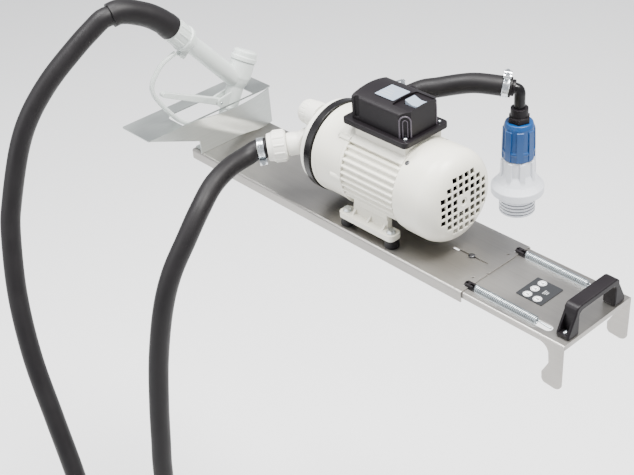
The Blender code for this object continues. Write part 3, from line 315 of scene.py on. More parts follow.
class Nodes:
    """Small helper to wire a material's nodes."""

    def __init__(self, name, color, roughness, metallic=0.0):
        self.material = bpy.data.materials.new(name)
        self.material.use_nodes = True
        self.tree = self.material.node_tree
        self.shader = self.tree.nodes["Principled BSDF"]
        self.shader.inputs["Base Color"].default_value = (*color, 1.0)
        self.shader.inputs["Roughness"].default_value = roughness
        self.shader.inputs["Metallic"].default_value = metallic
        self.color = color
        self.roughness = roughness
        self.material.diffuse_color = (*color, 1.0)
        self.place = self.tree.nodes.new("ShaderNodeTexCoord").outputs["Object"]

    def noise(self, scale, stretch=(1, 1, 1), detail=4.0, rough=0.55):
        """A noise over the object, stretched along its axes."""
        mapping = self.tree.nodes.new("ShaderNodeMapping")
        mapping.inputs["Scale"].default_value = stretch
        self.tree.links.new(self.place, mapping.inputs["Vector"])
        node = self.tree.nodes.new("ShaderNodeTexNoise")
        node.inputs["Scale"].default_value = scale
        node.inputs["Detail"].default_value = detail
        node.inputs["Roughness"].default_value = rough
        self.tree.links.new(mapping.outputs["Vector"], node.inputs["Vector"])
        return node.outputs["Fac"]

    def ramp(self, value, low, high, start=0.3, end=0.7):
        """Maps a value to a number between low and high."""
        node = self.tree.nodes.new("ShaderNodeMapRange")
        node.inputs["From Min"].default_value = start
        node.inputs["From Max"].default_value = end
        node.inputs["To Min"].default_value = low
        node.inputs["To Max"].default_value = high
        self.tree.links.new(value, node.inputs["Value"])
        return node.outputs["Result"]

    def vary_color(self, value, dark, light):
        """Blends the base colour between two brightnesses of itself."""
        node = self.tree.nodes.new("ShaderNodeMix")
        node.data_type = "RGBA"
        factor, first, second = node.inputs[0], node.inputs[6], node.inputs[7]
        first.default_value = (*(c * dark for c in self.color), 1.0)
        second.default_value = (*(min(1.0, c * light) for c in self.color), 1.0)
        self.tree.links.new(value, factor)
        self.tree.links.new(node.outputs[2], self.shader.inputs["Base Color"])

    def vary_roughness(self, value, low, high):
        self.tree.links.new(self.ramp(value, low, high), self.shader.inputs["Roughness"])

    def bump(self, value, strength, distance):
        """Adds a bump on top of those already there."""
        node = self.tree.nodes.new("ShaderNodeBump")
        node.inputs["Strength"].default_value = strength
        node.inputs["Distance"].default_value = distance
        self.tree.links.new(value, node.inputs["Height"])
        normal = self.shader.inputs["Normal"]
        if normal.is_linked:
            self.tree.links.new(normal.links[0].from_socket, node.inputs["Normal"])
        self.tree.links.new(node.outputs["Normal"], normal)


def brushed(name, color, roughness, stretch):
    """Brushed sheet metal, its fine lines along one axis."""
    made = Nodes(name, color, roughness, 1.0)
    lines = made.noise(420.0, stretch, 3.0, 0.65)
    broad = made.noise(9.0, (1, 1, 1), 3.0)
    made.vary_color(lines, 0.86, 1.10)
    made.vary_roughness(broad, roughness - 0.05, roughness + 0.08)
    made.bump(lines, 0.10, 0.0002)
    return made.material


def moulded(name, color, roughness, grain=0.12, scale=900.0, spread=0.06):
    """Moulded plastic with a fine grain and slightly uneven gloss."""
    made = Nodes(name, color, roughness)
    fine = made.noise(scale, (1, 1, 1), 2.0)
    broad = made.noise(22.0, (1, 1, 1), 3.0)
    made.vary_color(broad, 0.94, 1.05)
    made.vary_roughness(broad, roughness - spread, roughness + spread)
    made.bump(fine, grain, 0.0002)
    return made


def painted(name, color, roughness):
    """Powder coat: fine orange peel over cast metal."""
    made = Nodes(name, color, roughness)
    peel = made.noise(520.0, (1, 1, 1), 2.0, 0.5)
    cast = made.noise(60.0, (1, 1, 1), 4.0, 0.5)
    made.vary_color(cast, 0.965, 1.02)
    made.vary_roughness(cast, roughness - 0.05, roughness + 0.07)
    made.bump(peel, 0.10, 0.0003)
    made.bump(cast, 0.05, 0.0006)
    made.shader.inputs["Coat Weight"].default_value = 0.15
    made.shader.inputs["Coat Roughness"].default_value = 0.25
    return made.material


def plated(name, color, roughness):
    """Bright plated steel with a slight cloudiness."""
    made = Nodes(name, color, roughness, 1.0)
    cloud = made.noise(160.0, (1, 1, 1), 3.0)
    made.vary_color(cloud, 0.90, 1.06)
    made.vary_roughness(cloud, roughness - 0.06, roughness + 0.10)
    made.bump(cloud, 0.05, 0.0002)
    return made.material


def rubbered(name, color, roughness):
    """Extruded rubber: soft grey sheen, faint bloom and fine pitting."""
    made = Nodes(name, color, roughness)
    pits = made.noise(700.0, (1, 1, 1), 2.0)
    bloom = made.noise(26.0, (1, 1, 1), 4.0, 0.6)
    made.vary_color(bloom, 0.75, 1.45)
    made.vary_roughness(bloom, roughness - 0.08, roughness + 0.08)
    made.bump(pits, 0.14, 0.0002)
    made.shader.inputs["Specular IOR Level"].default_value = 0.24
    made.shader.inputs["Sheen Weight"].default_value = 0.03
    made.shader.inputs["Sheen Roughness"].default_value = 0.45
    return made.material


def dulled(made, specular):
    """A moulded finish with weaker reflections."""
    made.shader.inputs["Specular IOR Level"].default_value = specular
    return made.material


def make_looks():
    milky = moulded("milky_plastic", (0.56, 0.60, 0.575), 0.30, 0.05)
    milky.shader.inputs["Subsurface Weight"].default_value = 0.35
    milky.shader.inputs["Subsurface Radius"].default_value = (0.006, 0.006, 0.006)
    milky.shader.inputs["Subsurface Scale"].default_value = 1.0
    blue = moulded("blue_plastic", (0.0, 0.045, 0.170), 0.38, 0.03)
    blue.shader.inputs["Coat Weight"].default_value = 0.05
    blue.shader.inputs["Coat Roughness"].default_value = 0.15
    return {
        "sheet_x": brushed("stainless_sheet", (0.36, 0.345, 0.325), 0.36, (0.02, 1.0, 1.0)),
        "sheet_y": brushed("stainless_holder", (0.46, 0.485, 0.47), 0.42, (1.0, 0.02, 1.0)),
        "zinc": plated("bright_zinc", (0.62, 0.65, 0.67), 0.24),
        "spring": plated("spring_zinc", (0.42, 0.46, 0.48), 0.30),
        "paint": painted("white_powder_coat", (0.72, 0.70, 0.61), 0.40),
        "black": dulled(moulded("black_plastic", (0.0050, 0.0036, 0.0048), 0.46, 0.20, 1100.0), 0.22),
        "black_gloss": dulled(moulded("black_gloss_plastic", (0.0040, 0.0035, 0.0040), 0.30, 0.05), 0.28),
        # The niche rims' finish is lighter than the black plastic: a painted highlight along the rim edges.
        "rim_painted_highlight": moulded("rim_plastic_painted_highlight", (0.060, 0.050, 0.064), 0.30, 0.05).material,
        "grey": moulded("grey_plastic", (0.23, 0.27, 0.33), 0.40, 0.06).material,
        "white": moulded("white_plastic", (0.62, 0.64, 0.68), 0.36, 0.06).material,
        "pump_white": moulded("pump_plastic", (0.70, 0.69, 0.635), 0.38, 0.08).material,
        "blue": blue.material,
        "milky": milky.material,
        "rubber": rubbered("hose_rubber", (0.0050, 0.0042, 0.0048), 0.52),
        "label": dulled(moulded("label_print", (0.016, 0.017, 0.019), 0.55, 0.03), 0.25),
        "icon": moulded("icon_print", (0.78, 0.79, 0.80), 0.50, 0.02).material,
        "icon_grey": moulded("icon_grey_print", (0.32, 0.33, 0.34), 0.50, 0.02).material,
        "dark": plated("dark_steel", (0.10, 0.10, 0.105), 0.42),
        "steel": plated("machined_steel", (0.50, 0.50, 0.51), 0.34),
        "copper": plated("copper_winding", (0.60, 0.27, 0.13), 0.38),
    }


look = make_looks()


# ---------------------------------------------------------------- bracket

SHEET = 0.0015
PLATE_TOP = 0.0155
PLATE_WIDTH = 0.131
PLATE_LEFT = -0.386
PLATE_RIGHT = 0.147
SLOT_START = 0.077
SLOT_END = 0.1325
CATCH_X = -0.303
CATCH_DEPTH = 0.030
SLIDE_TOP = PLATE_TOP - SHEET - GAP
SLIDE_WIDTH = PLATE_WIDTH - 2 * (SHEET + 2 * GAP)
SLIDE_LEFT = 0.085
SLIDE_RIGHT = 0.2987
SLIDE_FLANGE = 0.0055
SPRING_Y = 0.0475
SPRING_Z = 0.0150
SPRING_LEFT = 0.1560
SPRING_RIGHT = 0.2480
SPRING_RADIUS = 0.0055
SPRING_TURNS = 36
WIRE_RADIUS = 0.00115
PIN_SLOT_WIDTH = 0.0036
SPRING_SLOT_WIDTH = 0.0118
FOOT_CENTRE_X = -0.0238
FOOT_PITCH_X = 0.080
FOOT_PITCH_Y = 0.100


def channel_outline(width, top, bottom, bend):
    """The section of a channel that opens downwards, as (y, z)."""
    half = width / 2
    inner = bend - SHEET
    outline = [(half, bottom)]
    outline += arc(half - bend, top - bend, bend, 0, 90, 8)
    outline += arc(-half + bend, top - bend, bend, 90, 180, 8)
    outline += [(-half, bottom), (-half + SHEET, bottom)]
    outline += arc(-half + bend, top - bend, inner, 180, 90, 8)
    outline += arc(half - bend, top - bend, inner, 90, 0, 8)
    outline += [(half - SHEET, bottom)]
    return outline


def foot_places():
    """The four foot bolts, as (x, y)."""
    for sx in (-1, 1):
        for sy in (-1, 1):
            yield FOOT_CENTRE_X + sx * FOOT_PITCH_X / 2, sy * FOOT_PITCH_Y / 2


def make_main_plate():
    outline = channel_outline(PLATE_WIDTH, PLATE_TOP, 0.0, 0.003)
    plate = add_object("bracket_plate", prism(outline, PLATE_LEFT, PLATE_RIGHT, "X"), look["sheet_x"])
    low, high = PLATE_TOP - 0.004, PLATE_TOP + 0.004
    slot_middle = (SLOT_START + SLOT_END) / 2
    cuts = [prism(rounded(SLOT_END - SLOT_START, PIN_SLOT_WIDTH, 0.00175, 8, slot_middle), low, high)]
    cuts.append(prism(rounded(0.0050, 0.0024, 0.0010, 4, PLATE_RIGHT, -0.0153), low, high))
    for side in (-1, 1):
        notch = rounded(0.0300, 0.0100, 0.0010, 4, PLATE_RIGHT + 0.0070, side * SPRING_Y)
        cuts.append(prism(notch, low, high))
        cuts.append(moved(rod(0.0016, 0.008, 24, 0), (0.1380, side * 0.0330, low)))
    for x, y in foot_places():
        cuts.append(moved(rod(0.0035, 0.008, 24, 0), (x, y, low)))
    carve(plate, merged(cuts))
    depth = CATCH_DEPTH + PLATE_TOP - 0.0005
    tab = prism(rounded(0.060, depth, 0.006, 6, 0, PLATE_TOP - 0.0005 - depth / 2), CATCH_X - SHEET / 2,
                CATCH_X + SHEET / 2, "X")
    join_on(plate, tab)
    join_on(plate, box((0.0040, 0.0600, 0.0040), (CATCH_X, 0, PLATE_TOP - 0.0025)))
    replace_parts(soften(plate, 0.0003), "main_plate")


def hook_outline():
    """A side of the sliding end with its hook, as (x, z)."""
    top = SLIDE_TOP - 0.0014
    outline = [(SLIDE_LEFT, top), (SLIDE_LEFT, SLIDE_FLANGE), (0.2640, SLIDE_FLANGE)]
    outline += arc(0.2640, -0.0085, 0.0140, 80, 8, 8)
    outline += [(0.2786, -0.0205)]
    outline += arc(0.2715, -0.0385, 0.0022, 150, 180, 3)
    outline += arc(0.2773, -0.0453, 0.0078, 170, 240, 6)
    outline += arc(0.2880, -0.0430, 0.0103, 270, 350, 8)
    outline += [(SLIDE_RIGHT, top)]
    return outline


def make_slide():
    """The telescoping end: a channel with round bends, two hooks, slots for the springs and a lip."""
    half = SLIDE_WIDTH / 2
    section = channel_outline(SLIDE_WIDTH, SLIDE_TOP, SLIDE_FLANGE, 0.0026)
    plate = add_object("sliding_end", prism(section, SLIDE_LEFT, SLIDE_RIGHT, "X"), look["sheet_x"], "slide")
    for side in (-1, 1):
        flange = prism(hook_outline(), half - SHEET, half, "Y")
        if side < 0:
            bmesh.ops.scale(flange, vec=(1, -1, 1), verts=flange.verts)
        join_on(plate, flange)
    lip = box((SHEET, SLIDE_WIDTH - 0.004, 0.0066), (SLIDE_RIGHT - 0.00078, 0.0, SLIDE_TOP - 0.0036))
    join_on(plate, lip)
    slots = []
    for side in (-1, 1):
        outline = rounded(0.1620, SPRING_SLOT_WIDTH, 0.0058, 8, 0.1890, side * SPRING_Y)
        slots.append(prism(outline, SLIDE_TOP - 0.004, SLIDE_TOP + 0.004))
    carve(plate, merged(slots))
    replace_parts(soften(plate, 0.0003), "slide_plate")


def make_springs():
    """Two close-wound extension springs. Each end's loop comes out of the coil into its anchor."""
    mean = SPRING_RADIUS - WIRE_RADIUS
    left = SPRING_LEFT
    right = SPRING_RIGHT
    for side, word in ((-1, "front"), (1, "back")):
        y = side * SPRING_Y
        route = []
        for i in range(9):
            t = radians(180 - 180 * i / 8)
            route.append(Vector((left - 0.0008 - 0.0016 * sin(t), y, SPRING_Z + 0.0016 * cos(t))))
        steps = SPRING_TURNS * 14
        for i in range(steps + 1):
            t = 2 * pi * SPRING_TURNS * i / steps
            x = left + (right - left) * i / steps
            route.append(Vector((x, y + mean * sin(t), SPRING_Z + mean * cos(t))))
        end = [(right + 0.0012, 0.0, 0.0030), (right + 0.0045, 0.0, 0.0010), (right + 0.0120, 0.0, 0.0)]
        end += [(right + 0.0204, 0.0, -0.0004)]
        route += smooth_route([Vector((x, y + a, SPRING_Z + c)) for x, a, c in end], 0.001)
        spring = as_mesh(tube(f"coil_spring_{word}", route, WIRE_RADIUS, look["spring"], None, 3))
        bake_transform(spring)
        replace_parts(spring, f"spring_{word}")


def as_mesh(piece):
    """Turns a curve piece into a mesh."""
    bpy.context.view_layer.update()
    graph = bpy.context.evaluated_depsgraph_get()
    mesh = bpy.data.meshes.new_from_object(piece.evaluated_get(graph))
    name, matrix = piece.name, piece.matrix_world.copy()
    mesh.shade_smooth()
    made = bpy.data.objects.new(name + "_mesh", mesh)
    made.matrix_world = matrix
    bpy.context.scene.collection.objects.link(made)
    bpy.data.objects.remove(piece, do_unlink=True)
    made.name = name
    return made


def screw(name, place, direction, radius=0.0030, finish="zinc", body="frame", height=0.0020, cross=True):
    """A pan-head screw, its crown at the far end of its direction, with a cross in it."""
    profile = [(0.0, 0.0), (radius * 0.98, 0.0)] + arc(0.0, 0.0, radius, 0, 60, 6)[1:]
    profile = [(r, z * height / radius) for r, z in profile] + [(0.0, height)]
    head = turned(profile, 24)
    piece = add_object(name, head, look[finish], body, place, facing(direction))
    if cross:
        for a, b in ((1.25, 0.26), (0.26, 1.25)):
            slot = moved(box((radius * a, radius * b, height), (0, 0, height)), place, facing(direction))
            carve(piece, slot)
    return piece


# ---------------------------------------------------------------- handle and trim

HANDLE_X = 0.2880
HANDLE_DEPTH = 0.0180
HANDLE_LENGTH = 0.1055
HANDLE_TOP = 0.0535
HANDLE_LEG = 0.0190
HANDLE_BAR = 0.0085


def make_handle():
    half = HANDLE_LENGTH / 2
    bottom = SLIDE_TOP + GAP
    leg_top = HANDLE_TOP - HANDLE_BAR
    outline = [(half, bottom), (half, 0.0200), (half - 0.0125, 0.0450)]
    outline += arc(half - 0.0205, HANDLE_TOP - 0.0085, 0.0085, 25, 90, 8)
    outline += arc(-half + 0.0205, HANDLE_TOP - 0.0085, 0.0085, 90, 155, 8)
    outline += [(-half + 0.0125, 0.0450), (-half, 0.0200), (-half, bottom), (-half + HANDLE_LEG, bottom)]
    outline += arc(-half + HANDLE_LEG + 0.0060, leg_top - 0.0060, 0.0060, 180, 90, 6)
    outline += arc(half - HANDLE_LEG - 0.0060, leg_top - 0.0060, 0.0060, 90, 0, 6)
    outline += [(half - HANDLE_LEG, bottom)]
    body = prism(outline, HANDLE_X - HANDLE_DEPTH / 2, HANDLE_X + HANDLE_DEPTH / 2, "X")
    handle = add_object("pull_handle", body, look["black"], "slide")
    soften(handle, 0.0018, 4, 50)
    for side in (-1, 1):
        place = (HANDLE_X, side * (half - 0.0060), 0.0190)
        carve(handle, box((0.0110, 0.0130, 0.0260), (HANDLE_X, side * (half - 0.0045), 0.0320)))
        screw(f"handle_screw_{side + 1}", place, (0, 0, 1), 0.0034, "zinc", "slide", 0.0026)
    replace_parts(soften(handle, 0.0004, 2, 40), "handle")


def make_label():
    """The label: a dark plate with four generic round icons and three short lines."""
    low, high = SLIDE_TOP + GAP, SLIDE_TOP + 0.0009
    outline = rounded(0.0385, 0.0420, 0.0015, 6, 0.2140, -0.0003)
    plate = add_object("label_panel", prism(outline, low, high), look["label"], "slide")
    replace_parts(soften(plate, 0.0001), "label_plate")
    marks = []
    icon_places = ((0.2068, 0.0140), (0.2068, 0.0), (0.2068, -0.0140), (0.2217, -0.0140))
    for x, y in icon_places:
        marks.append((moved(tube_ring(0.0054, 0.0047, 0.00012, 40, 0), (x, y, high)), "icon"))
        marks.append((moved(rod(0.0040, 0.00012, 32, 0), (x, y, high)), "icon"))
        marks.append((box((0.0046, 0.0011, 0.00010), (x, y, high + 0.00018)), "label"))
        marks.append((box((0.0011, 0.0034, 0.00010), (x + 0.0016, y, high + 0.00018)), "label"))
    for line in range(3):
        place = (0.2195 + 0.0024 * line, 0.0018, high + 0.00005)
        marks.append((box((0.0011, 0.0080 - 0.0014 * line, 0.00010), place), "icon_grey"))
    for number, (bm, finish) in enumerate(marks):
        add_object(f"label_mark_{number}", bm, look[finish], "slide")


def make_pin():
    low, head = SLIDE_TOP + GAP, PLATE_TOP + GAP
    profile = [(0.0, low), (0.0016, low), (0.0016, head), (0.0044, head)]
    profile += [(0.0044, head + 0.0011), (0.0034, head + 0.0020), (0.0, head + 0.0020)]
    pin = add_object("slot_pin", turned(eased(profile, 0.0004), 40), look["dark"], "slide", (0.107, 0, 0))
    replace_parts(pin, "guide_pin")


def make_anchors():
    for side, word in ((-1, "front"), (1, "back")):
        y = side * SPRING_Y
        block = box((0.0130, 0.0088, 0.0138), (0.1467, y, 0.0117))
        clip = add_object(f"anchor_clip_{word}", block, look["black"])
        carve(clip, box((0.0080, 0.0030, 0.0100), (0.1510, y, 0.0185)))
        carve(clip, moved(rod(0.0016, 0.0120, 20, 0), (0.1420, y, 0.0150)))
        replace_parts(soften(clip, 0.0009, 3), f"spring_anchor_{word}")


# ---------------------------------------------------------------- nozzle holder

HOLDER_X = -0.362
HOLDER_TOP = 0.0724
HOLDER_FRONT = -0.151
HOLDER_BACK = 0.0755
HOLDER_LEFT = -0.430


def holder_edge(z):
    """The holder wall's front edge at a height: upright at the plate, then out to the tray's corner."""
    start = 0.0370
    if z < start:
        return -PLATE_WIDTH / 2
    share = (z - start) / (HOLDER_TOP - start)
    return -PLATE_WIDTH / 2 + share * (HOLDER_FRONT + PLATE_WIDTH / 2)


def holder_bulge(y, z):
    """How far the pocket's wall stands forward: round above a diagonal crease, flat below it."""
    crease = (y + 0.0871) * 0.0566 + (z - HOLDER_TOP) * 0.0940
    rise = min(1.0, max(0.0, crease / 0.0032))
    rise = rise * rise * (3 - 2 * rise)
    across = max(0.0, 1 - ((y - 0.002) / 0.066) ** 2)
    return 0.0030 * rise + 0.0100 * rise * across


def make_holder():
    """Foot, pressed wall and tray, all one bent sheet."""
    columns, rows = 90, 34
    bottom, top = PLATE_TOP + GAP, HOLDER_TOP - 0.0003
    bm = bmesh.new()
    front, back = [], []
    for r in range(rows + 1):
        z = bottom + (top - bottom) * r / rows
        left = holder_edge(z)
        right = 0.0690 + (HOLDER_BACK - 0.0070 - 0.0690) * r / rows
        rows_made = ([], [])
        for c in range(columns + 1):
            y = left + (right - left) * c / columns
            x = HOLDER_X + holder_bulge(y, z)
            rows_made[0].append(bm.verts.new((x, y, z)))
            rows_made[1].append(bm.verts.new((x - SHEET, y, z)))
        front.append(rows_made[0])
        back.append(rows_made[1])
    for r in range(rows):
        for c in range(columns):
            for grid in (front, back):
                bm.faces.new((grid[r][c], grid[r][c + 1], grid[r + 1][c + 1], grid[r + 1][c]))
    rim = [(0, c) for c in range(columns)] + [(r, columns) for r in range(rows)]
    rim += [(rows, c) for c in range(columns, 0, -1)] + [(r, 0) for r in range(rows, 0, -1)]
    for (r, c), (s, d) in zip(rim, rim[1:] + rim[:1]):
        bm.faces.new((front[r][c], front[s][d], back[s][d], back[r][c]))
    holder = add_object("holder_sheet", bm, look["sheet_y"])
    depth, width = HOLDER_X - 0.0004 - HOLDER_LEFT, HOLDER_BACK - HOLDER_FRONT
    outline = rounded(depth, width, 0.0030, 5, HOLDER_LEFT + depth / 2, HOLDER_FRONT + width / 2)
    join_on(holder, prism(outline, HOLDER_TOP - SHEET, HOLDER_TOP))
    foot = prism(rounded(0.0230, 0.1200, 0.0030, 5, HOLDER_X - 0.0122, 0), bottom + 0.0001, bottom + SHEET)
    join_on(holder, foot)
    edge = HOLDER_X - SHEET - 0.0006
    low, high = HOLDER_TOP - 0.0030, HOLDER_TOP + 0.0030
    carve(holder, prism(tray_slot(edge), low, high))
    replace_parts(holder, "nozzle_holder")
    for side in (-1, 1):
        place = (HOLDER_X - 0.0130, side * 0.0420, bottom + SHEET)
        screw(f"holder_rivet_{side + 1}", place, (0, 0, 1), 0.0038, "zinc", "frame", 0.0018, False)


def tray_slot(edge):
    """The tray's slot, open towards the wall, as (x, y)."""
    left, front, back, radius = HOLDER_LEFT + 0.0245, -0.0900, 0.0430, 0.0120
    outline = [(edge, back)]
    outline += arc(left + radius, back - radius, radius, 90, 180, 8)
    outline += arc(left + radius, front + radius, radius, 180, 270, 8)
    return outline + [(edge, front)]


# ---------------------------------------------------------------- motor

MOUNT_HEIGHT = 0.0122
FOOT_THICK = 0.0080
FOOT_LOW = PLATE_TOP + MOUNT_HEIGHT
FOOT_HIGH = FOOT_LOW + FOOT_THICK
RING_LEFT = -0.1305
RING_RIGHT = -0.1190
RING_RADIUS = 0.0632
SHIELD_LEFT = RING_RIGHT + GAP
SHIELD_RIGHT = -0.0613
HOUSING_LEFT = SHIELD_RIGHT + GAP
HOUSING_RIGHT = 0.0303
COVER_LEFT = 0.0306
COVER_RIGHT = 0.0944
COVER_ROUND = 0.0271
MOTOR_RADIUS = 0.0618
BOX_BOTTOM = 0.1572


def ring_place(degrees, radius, x):
    """A point round the motor's axis, its angle from +Y."""
    return Vector((x, radius * cos(radians(degrees)), AXIS_Z + radius * sin(radians(degrees))))


def outwards(degrees):
    return Vector((0, cos(radians(degrees)), sin(radians(degrees))))


def make_feet():
    for side, word in ((-1, "front"), (1, "back")):
        outline = rounded(0.0980, 0.0210, 0.0070, 8, FOOT_CENTRE_X, side * 0.0495)
        foot = add_object(f"foot_rail_{word}", prism(outline, FOOT_LOW, FOOT_HIGH), look["paint"])
        web = [(0.0393, FOOT_HIGH - 0.001), (0.0478, FOOT_HIGH - 0.001), (0.0468, FOOT_HIGH + 0.0122)]
        web += [(0.0393, FOOT_HIGH + 0.0122)]
        web = [(side * y, z) for y, z in web]
        join_on(foot, prism(web, FOOT_CENTRE_X - 0.0310, FOOT_CENTRE_X + 0.0310, "X"))
        for sx in (-1, 0, 1):
            rib = [(0.0460, FOOT_HIGH - 0.001), (0.0560, FOOT_HIGH - 0.001), (0.0460, FOOT_HIGH + 0.0080)]
            rib = [(side * y, z) for y, z in rib]
            middle = FOOT_CENTRE_X + sx * 0.0270
            join_on(foot, prism(rib, middle - 0.0017, middle + 0.0017, "X"))
        for x, y in foot_places():
            if y * side > 0:
                carve(foot, moved(rod(0.0034, 0.020, 24, 0), (x, y, FOOT_LOW - 0.005)))
        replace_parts(soften(foot, 0.0009, 3), f"motor_foot_{word}")
    for number, (x, y) in enumerate(foot_places(), 1):
        low, high = PLATE_TOP + GAP, FOOT_LOW - GAP
        profile = [(0.0034, low), (0.0098, low), (0.0100, low + 0.0010), (0.0094, (low + high) / 2)]
        profile += [(0.0100, high - 0.0010), (0.0098, high), (0.0034, high)]
        buffer = turned(eased(profile, 0.0012), 48)
        rubber = add_object(f"buffer_{number}", buffer, look["rubber"], "frame", (x, y, 0))
        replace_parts(rubber, f"rubber_mount_{number}")
        nut_top = PLATE_TOP - SHEET - GAP
        head = FOOT_HIGH + GAP
        shank = turned([(0.0, nut_top - 0.0040), (0.0029, nut_top - 0.0040), (0.0029, head), (0.0, head)], 24)
        bolt = add_object(f"foot_screw_{number}", shank, look["zinc"], "frame", (x, y, 0))
        join_on(bolt, moved(rod(0.0064, 0.0012, 40, 0.0003), (x, y, head - 0.0001)))
        hexes = ((0.0052, head + 0.0008, head + 0.0042), (0.0058, nut_top - 0.0046, nut_top))
        for radius, start, end in hexes:
            join_on(bolt, moved(prism(hexagon(radius, 12), start, end), (x, y, 0)))
        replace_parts(soften(bolt, 0.0003), f"foot_bolt_{number}")


def fin_outline(root, tip, pitch):
    """The frame's section: round-tipped fins on both sides, a plain band above and below."""
    outline = []
    fin = ((root, -2.75), (tip - 0.0005, -1.25), (tip, -0.6), (tip, 0.6), (tip - 0.0005, 1.25), (root, 2.75))
    for start, end in ((-30.0, 46.0), (134.0, 210.0)):
        if start > 0:
            outline += arc(0.0, 0.0, tip, 48.5, 131.5, 24)
        count = round((end - start) / pitch)
        for i in range(count):
            middle = start + (end - start) * (i + 0.5) / count
            for radius, turn in fin:
                angle = radians(middle + turn)
                outline.append((radius * cos(angle), radius * sin(angle)))
    return outline + arc(0.0, 0.0, root, 214, 326, 28)


def make_housing():
    length = HOUSING_RIGHT - HOUSING_LEFT
    outline = fin_outline(0.0577, 0.0617, 8.4)
    place = (HOUSING_LEFT, 0.0, AXIS_Z)
    housing = add_object("motor_frame", prism(outline, 0.0, length, "X"), look["paint"], "frame", place)
    baked(housing)
    pad_top = BOX_BOTTOM - GAP
    pad = box((length - 0.0040, 0.0640, 0.0240), (HOUSING_LEFT + length / 2, 0, pad_top - 0.0120))
    join_on(housing, pad)
    flat = FOOT_HIGH + 0.0123 + GAP
    for side in (-1, 1):
        block = box((0.0600, 0.0110, 0.0150), (FOOT_CENTRE_X, side * 0.0415, flat + 0.0075))
        join_on(housing, block)
    carve(housing, moved(rod(0.0500, length, 64, 0), (HOUSING_LEFT - 0.006, 0, AXIS_Z), ALONG_X))
    carve(housing, moved(rod(0.0163, 0.030, 48, 0), (HOUSING_RIGHT - 0.020, 0, AXIS_Z), ALONG_X))
    for degrees in (46.5, 133.5):
        groove = [(0.0545, -0.0013), (0.0700, -0.0013), (0.0700, 0.0013), (0.0545, 0.0013)]
        groove = prism(groove, HOUSING_LEFT - 0.001, HOUSING_RIGHT - 0.004, "X")
        carve(housing, placed(groove, about_axle(degrees)))
    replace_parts(soften(housing, 0.0005, 2, 50), "motor_housing")


def make_shield():
    """The drive-end shield: a smooth bell with bolt bosses and a raised rim at each end."""
    length = SHIELD_RIGHT - SHIELD_LEFT
    profile = [(0.0165, 0.0), (0.0590, 0.0), (0.0615, 0.0022), (0.0615, 0.0085), (0.0606, 0.0095)]
    profile += [(0.0606, length - 0.0062), (0.0616, length - 0.0052), (0.0616, length), (0.0500, length)]
    profile += [(0.0480, 0.0120), (0.0230, 0.0080), (0.0215, 0.0180), (0.0165, 0.0180)]
    shape = moved(turned(eased(profile, 0.0012), 128), (SHIELD_LEFT, 0, AXIS_Z), ALONG_X)
    shield = add_object("front_bell", shape, look["paint"])
    for degrees in (182, 130, 50, -2):
        place = ring_place(degrees, 0.0573, SHIELD_RIGHT - 0.0202)
        join_on(shield, moved(rod(0.0056, 0.0200, 32, 0.0015), place, ALONG_X))
    carve(shield, moved(rod(0.0480, 0.0440, 64, 0), (SHIELD_RIGHT - 0.0400, 0, AXIS_Z), ALONG_X))
    groove = prism([(0.0608, -0.0011), (0.0660, -0.0011), (0.0660, 0.0011), (0.0608, 0.0011)],
                   SHIELD_LEFT + 0.040, SHIELD_RIGHT + 0.002, "X")
    for degrees in (46.5, 133.5):
        carve(shield, placed(groove.copy(), about_axle(degrees)))
    groove.free()
    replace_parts(soften(shield, 0.0006, 2, 40), "front_shield")
    for degrees in (182, 130, 50, -2):
        place = ring_place(degrees, 0.0583, SHIELD_RIGHT - 0.0205)
        screw(f"shield_screw_{degrees + 2}", place, (-1, 0, 0), 0.0036, "dark", "frame", 0.0020)


def make_insides():
    """What can be glimpsed through the grille and the bores. The fan's long black blades darken the view:
    partly the real fan, partly painted shade inside the cowl.
    """
    for node in ("rotor", "shaft", "bearing_front", "bearing_rear", "eccentric"):
        dress(node, "steel")
    dress("stator", "copper")
    dress("capacitor", "white")
    dress("diaphragm", "rubber")
    profile = [(0.0068, 0.0), (0.0120, 0.0), (0.0120, 0.0020), (0.0480, 0.0020), (0.0480, 0.0040)]
    profile += [(0.0120, 0.0040), (0.0120, 0.0200), (0.0068, 0.0200)]
    shape = moved(turned(eased(profile, 0.0004), 64), (0.0400, 0, AXIS_Z), ALONG_X)
    fan = add_object("cooling_fan", shape, look["black"], "rotor")
    for i in range(6):
        # The blades run the cowl's depth: a real part that also stands in as painted shade behind the grille.
        blade = box((0.0400, 0.0370, 0.0016), (0.0620, 0.0275, 0.0))
        join_on(fan, placed(blade, about_axle(60 * i + 5)))
    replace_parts(fan, "fan")


def dress(node, finish):
    """Gives a CAD node its finish and soft shading."""
    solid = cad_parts[node]
    solid.data.materials.clear()
    solid.data.materials.append(look[finish])
    solid.data.shade_smooth()
    solid.data.set_sharp_from_angle(angle=radians(32))


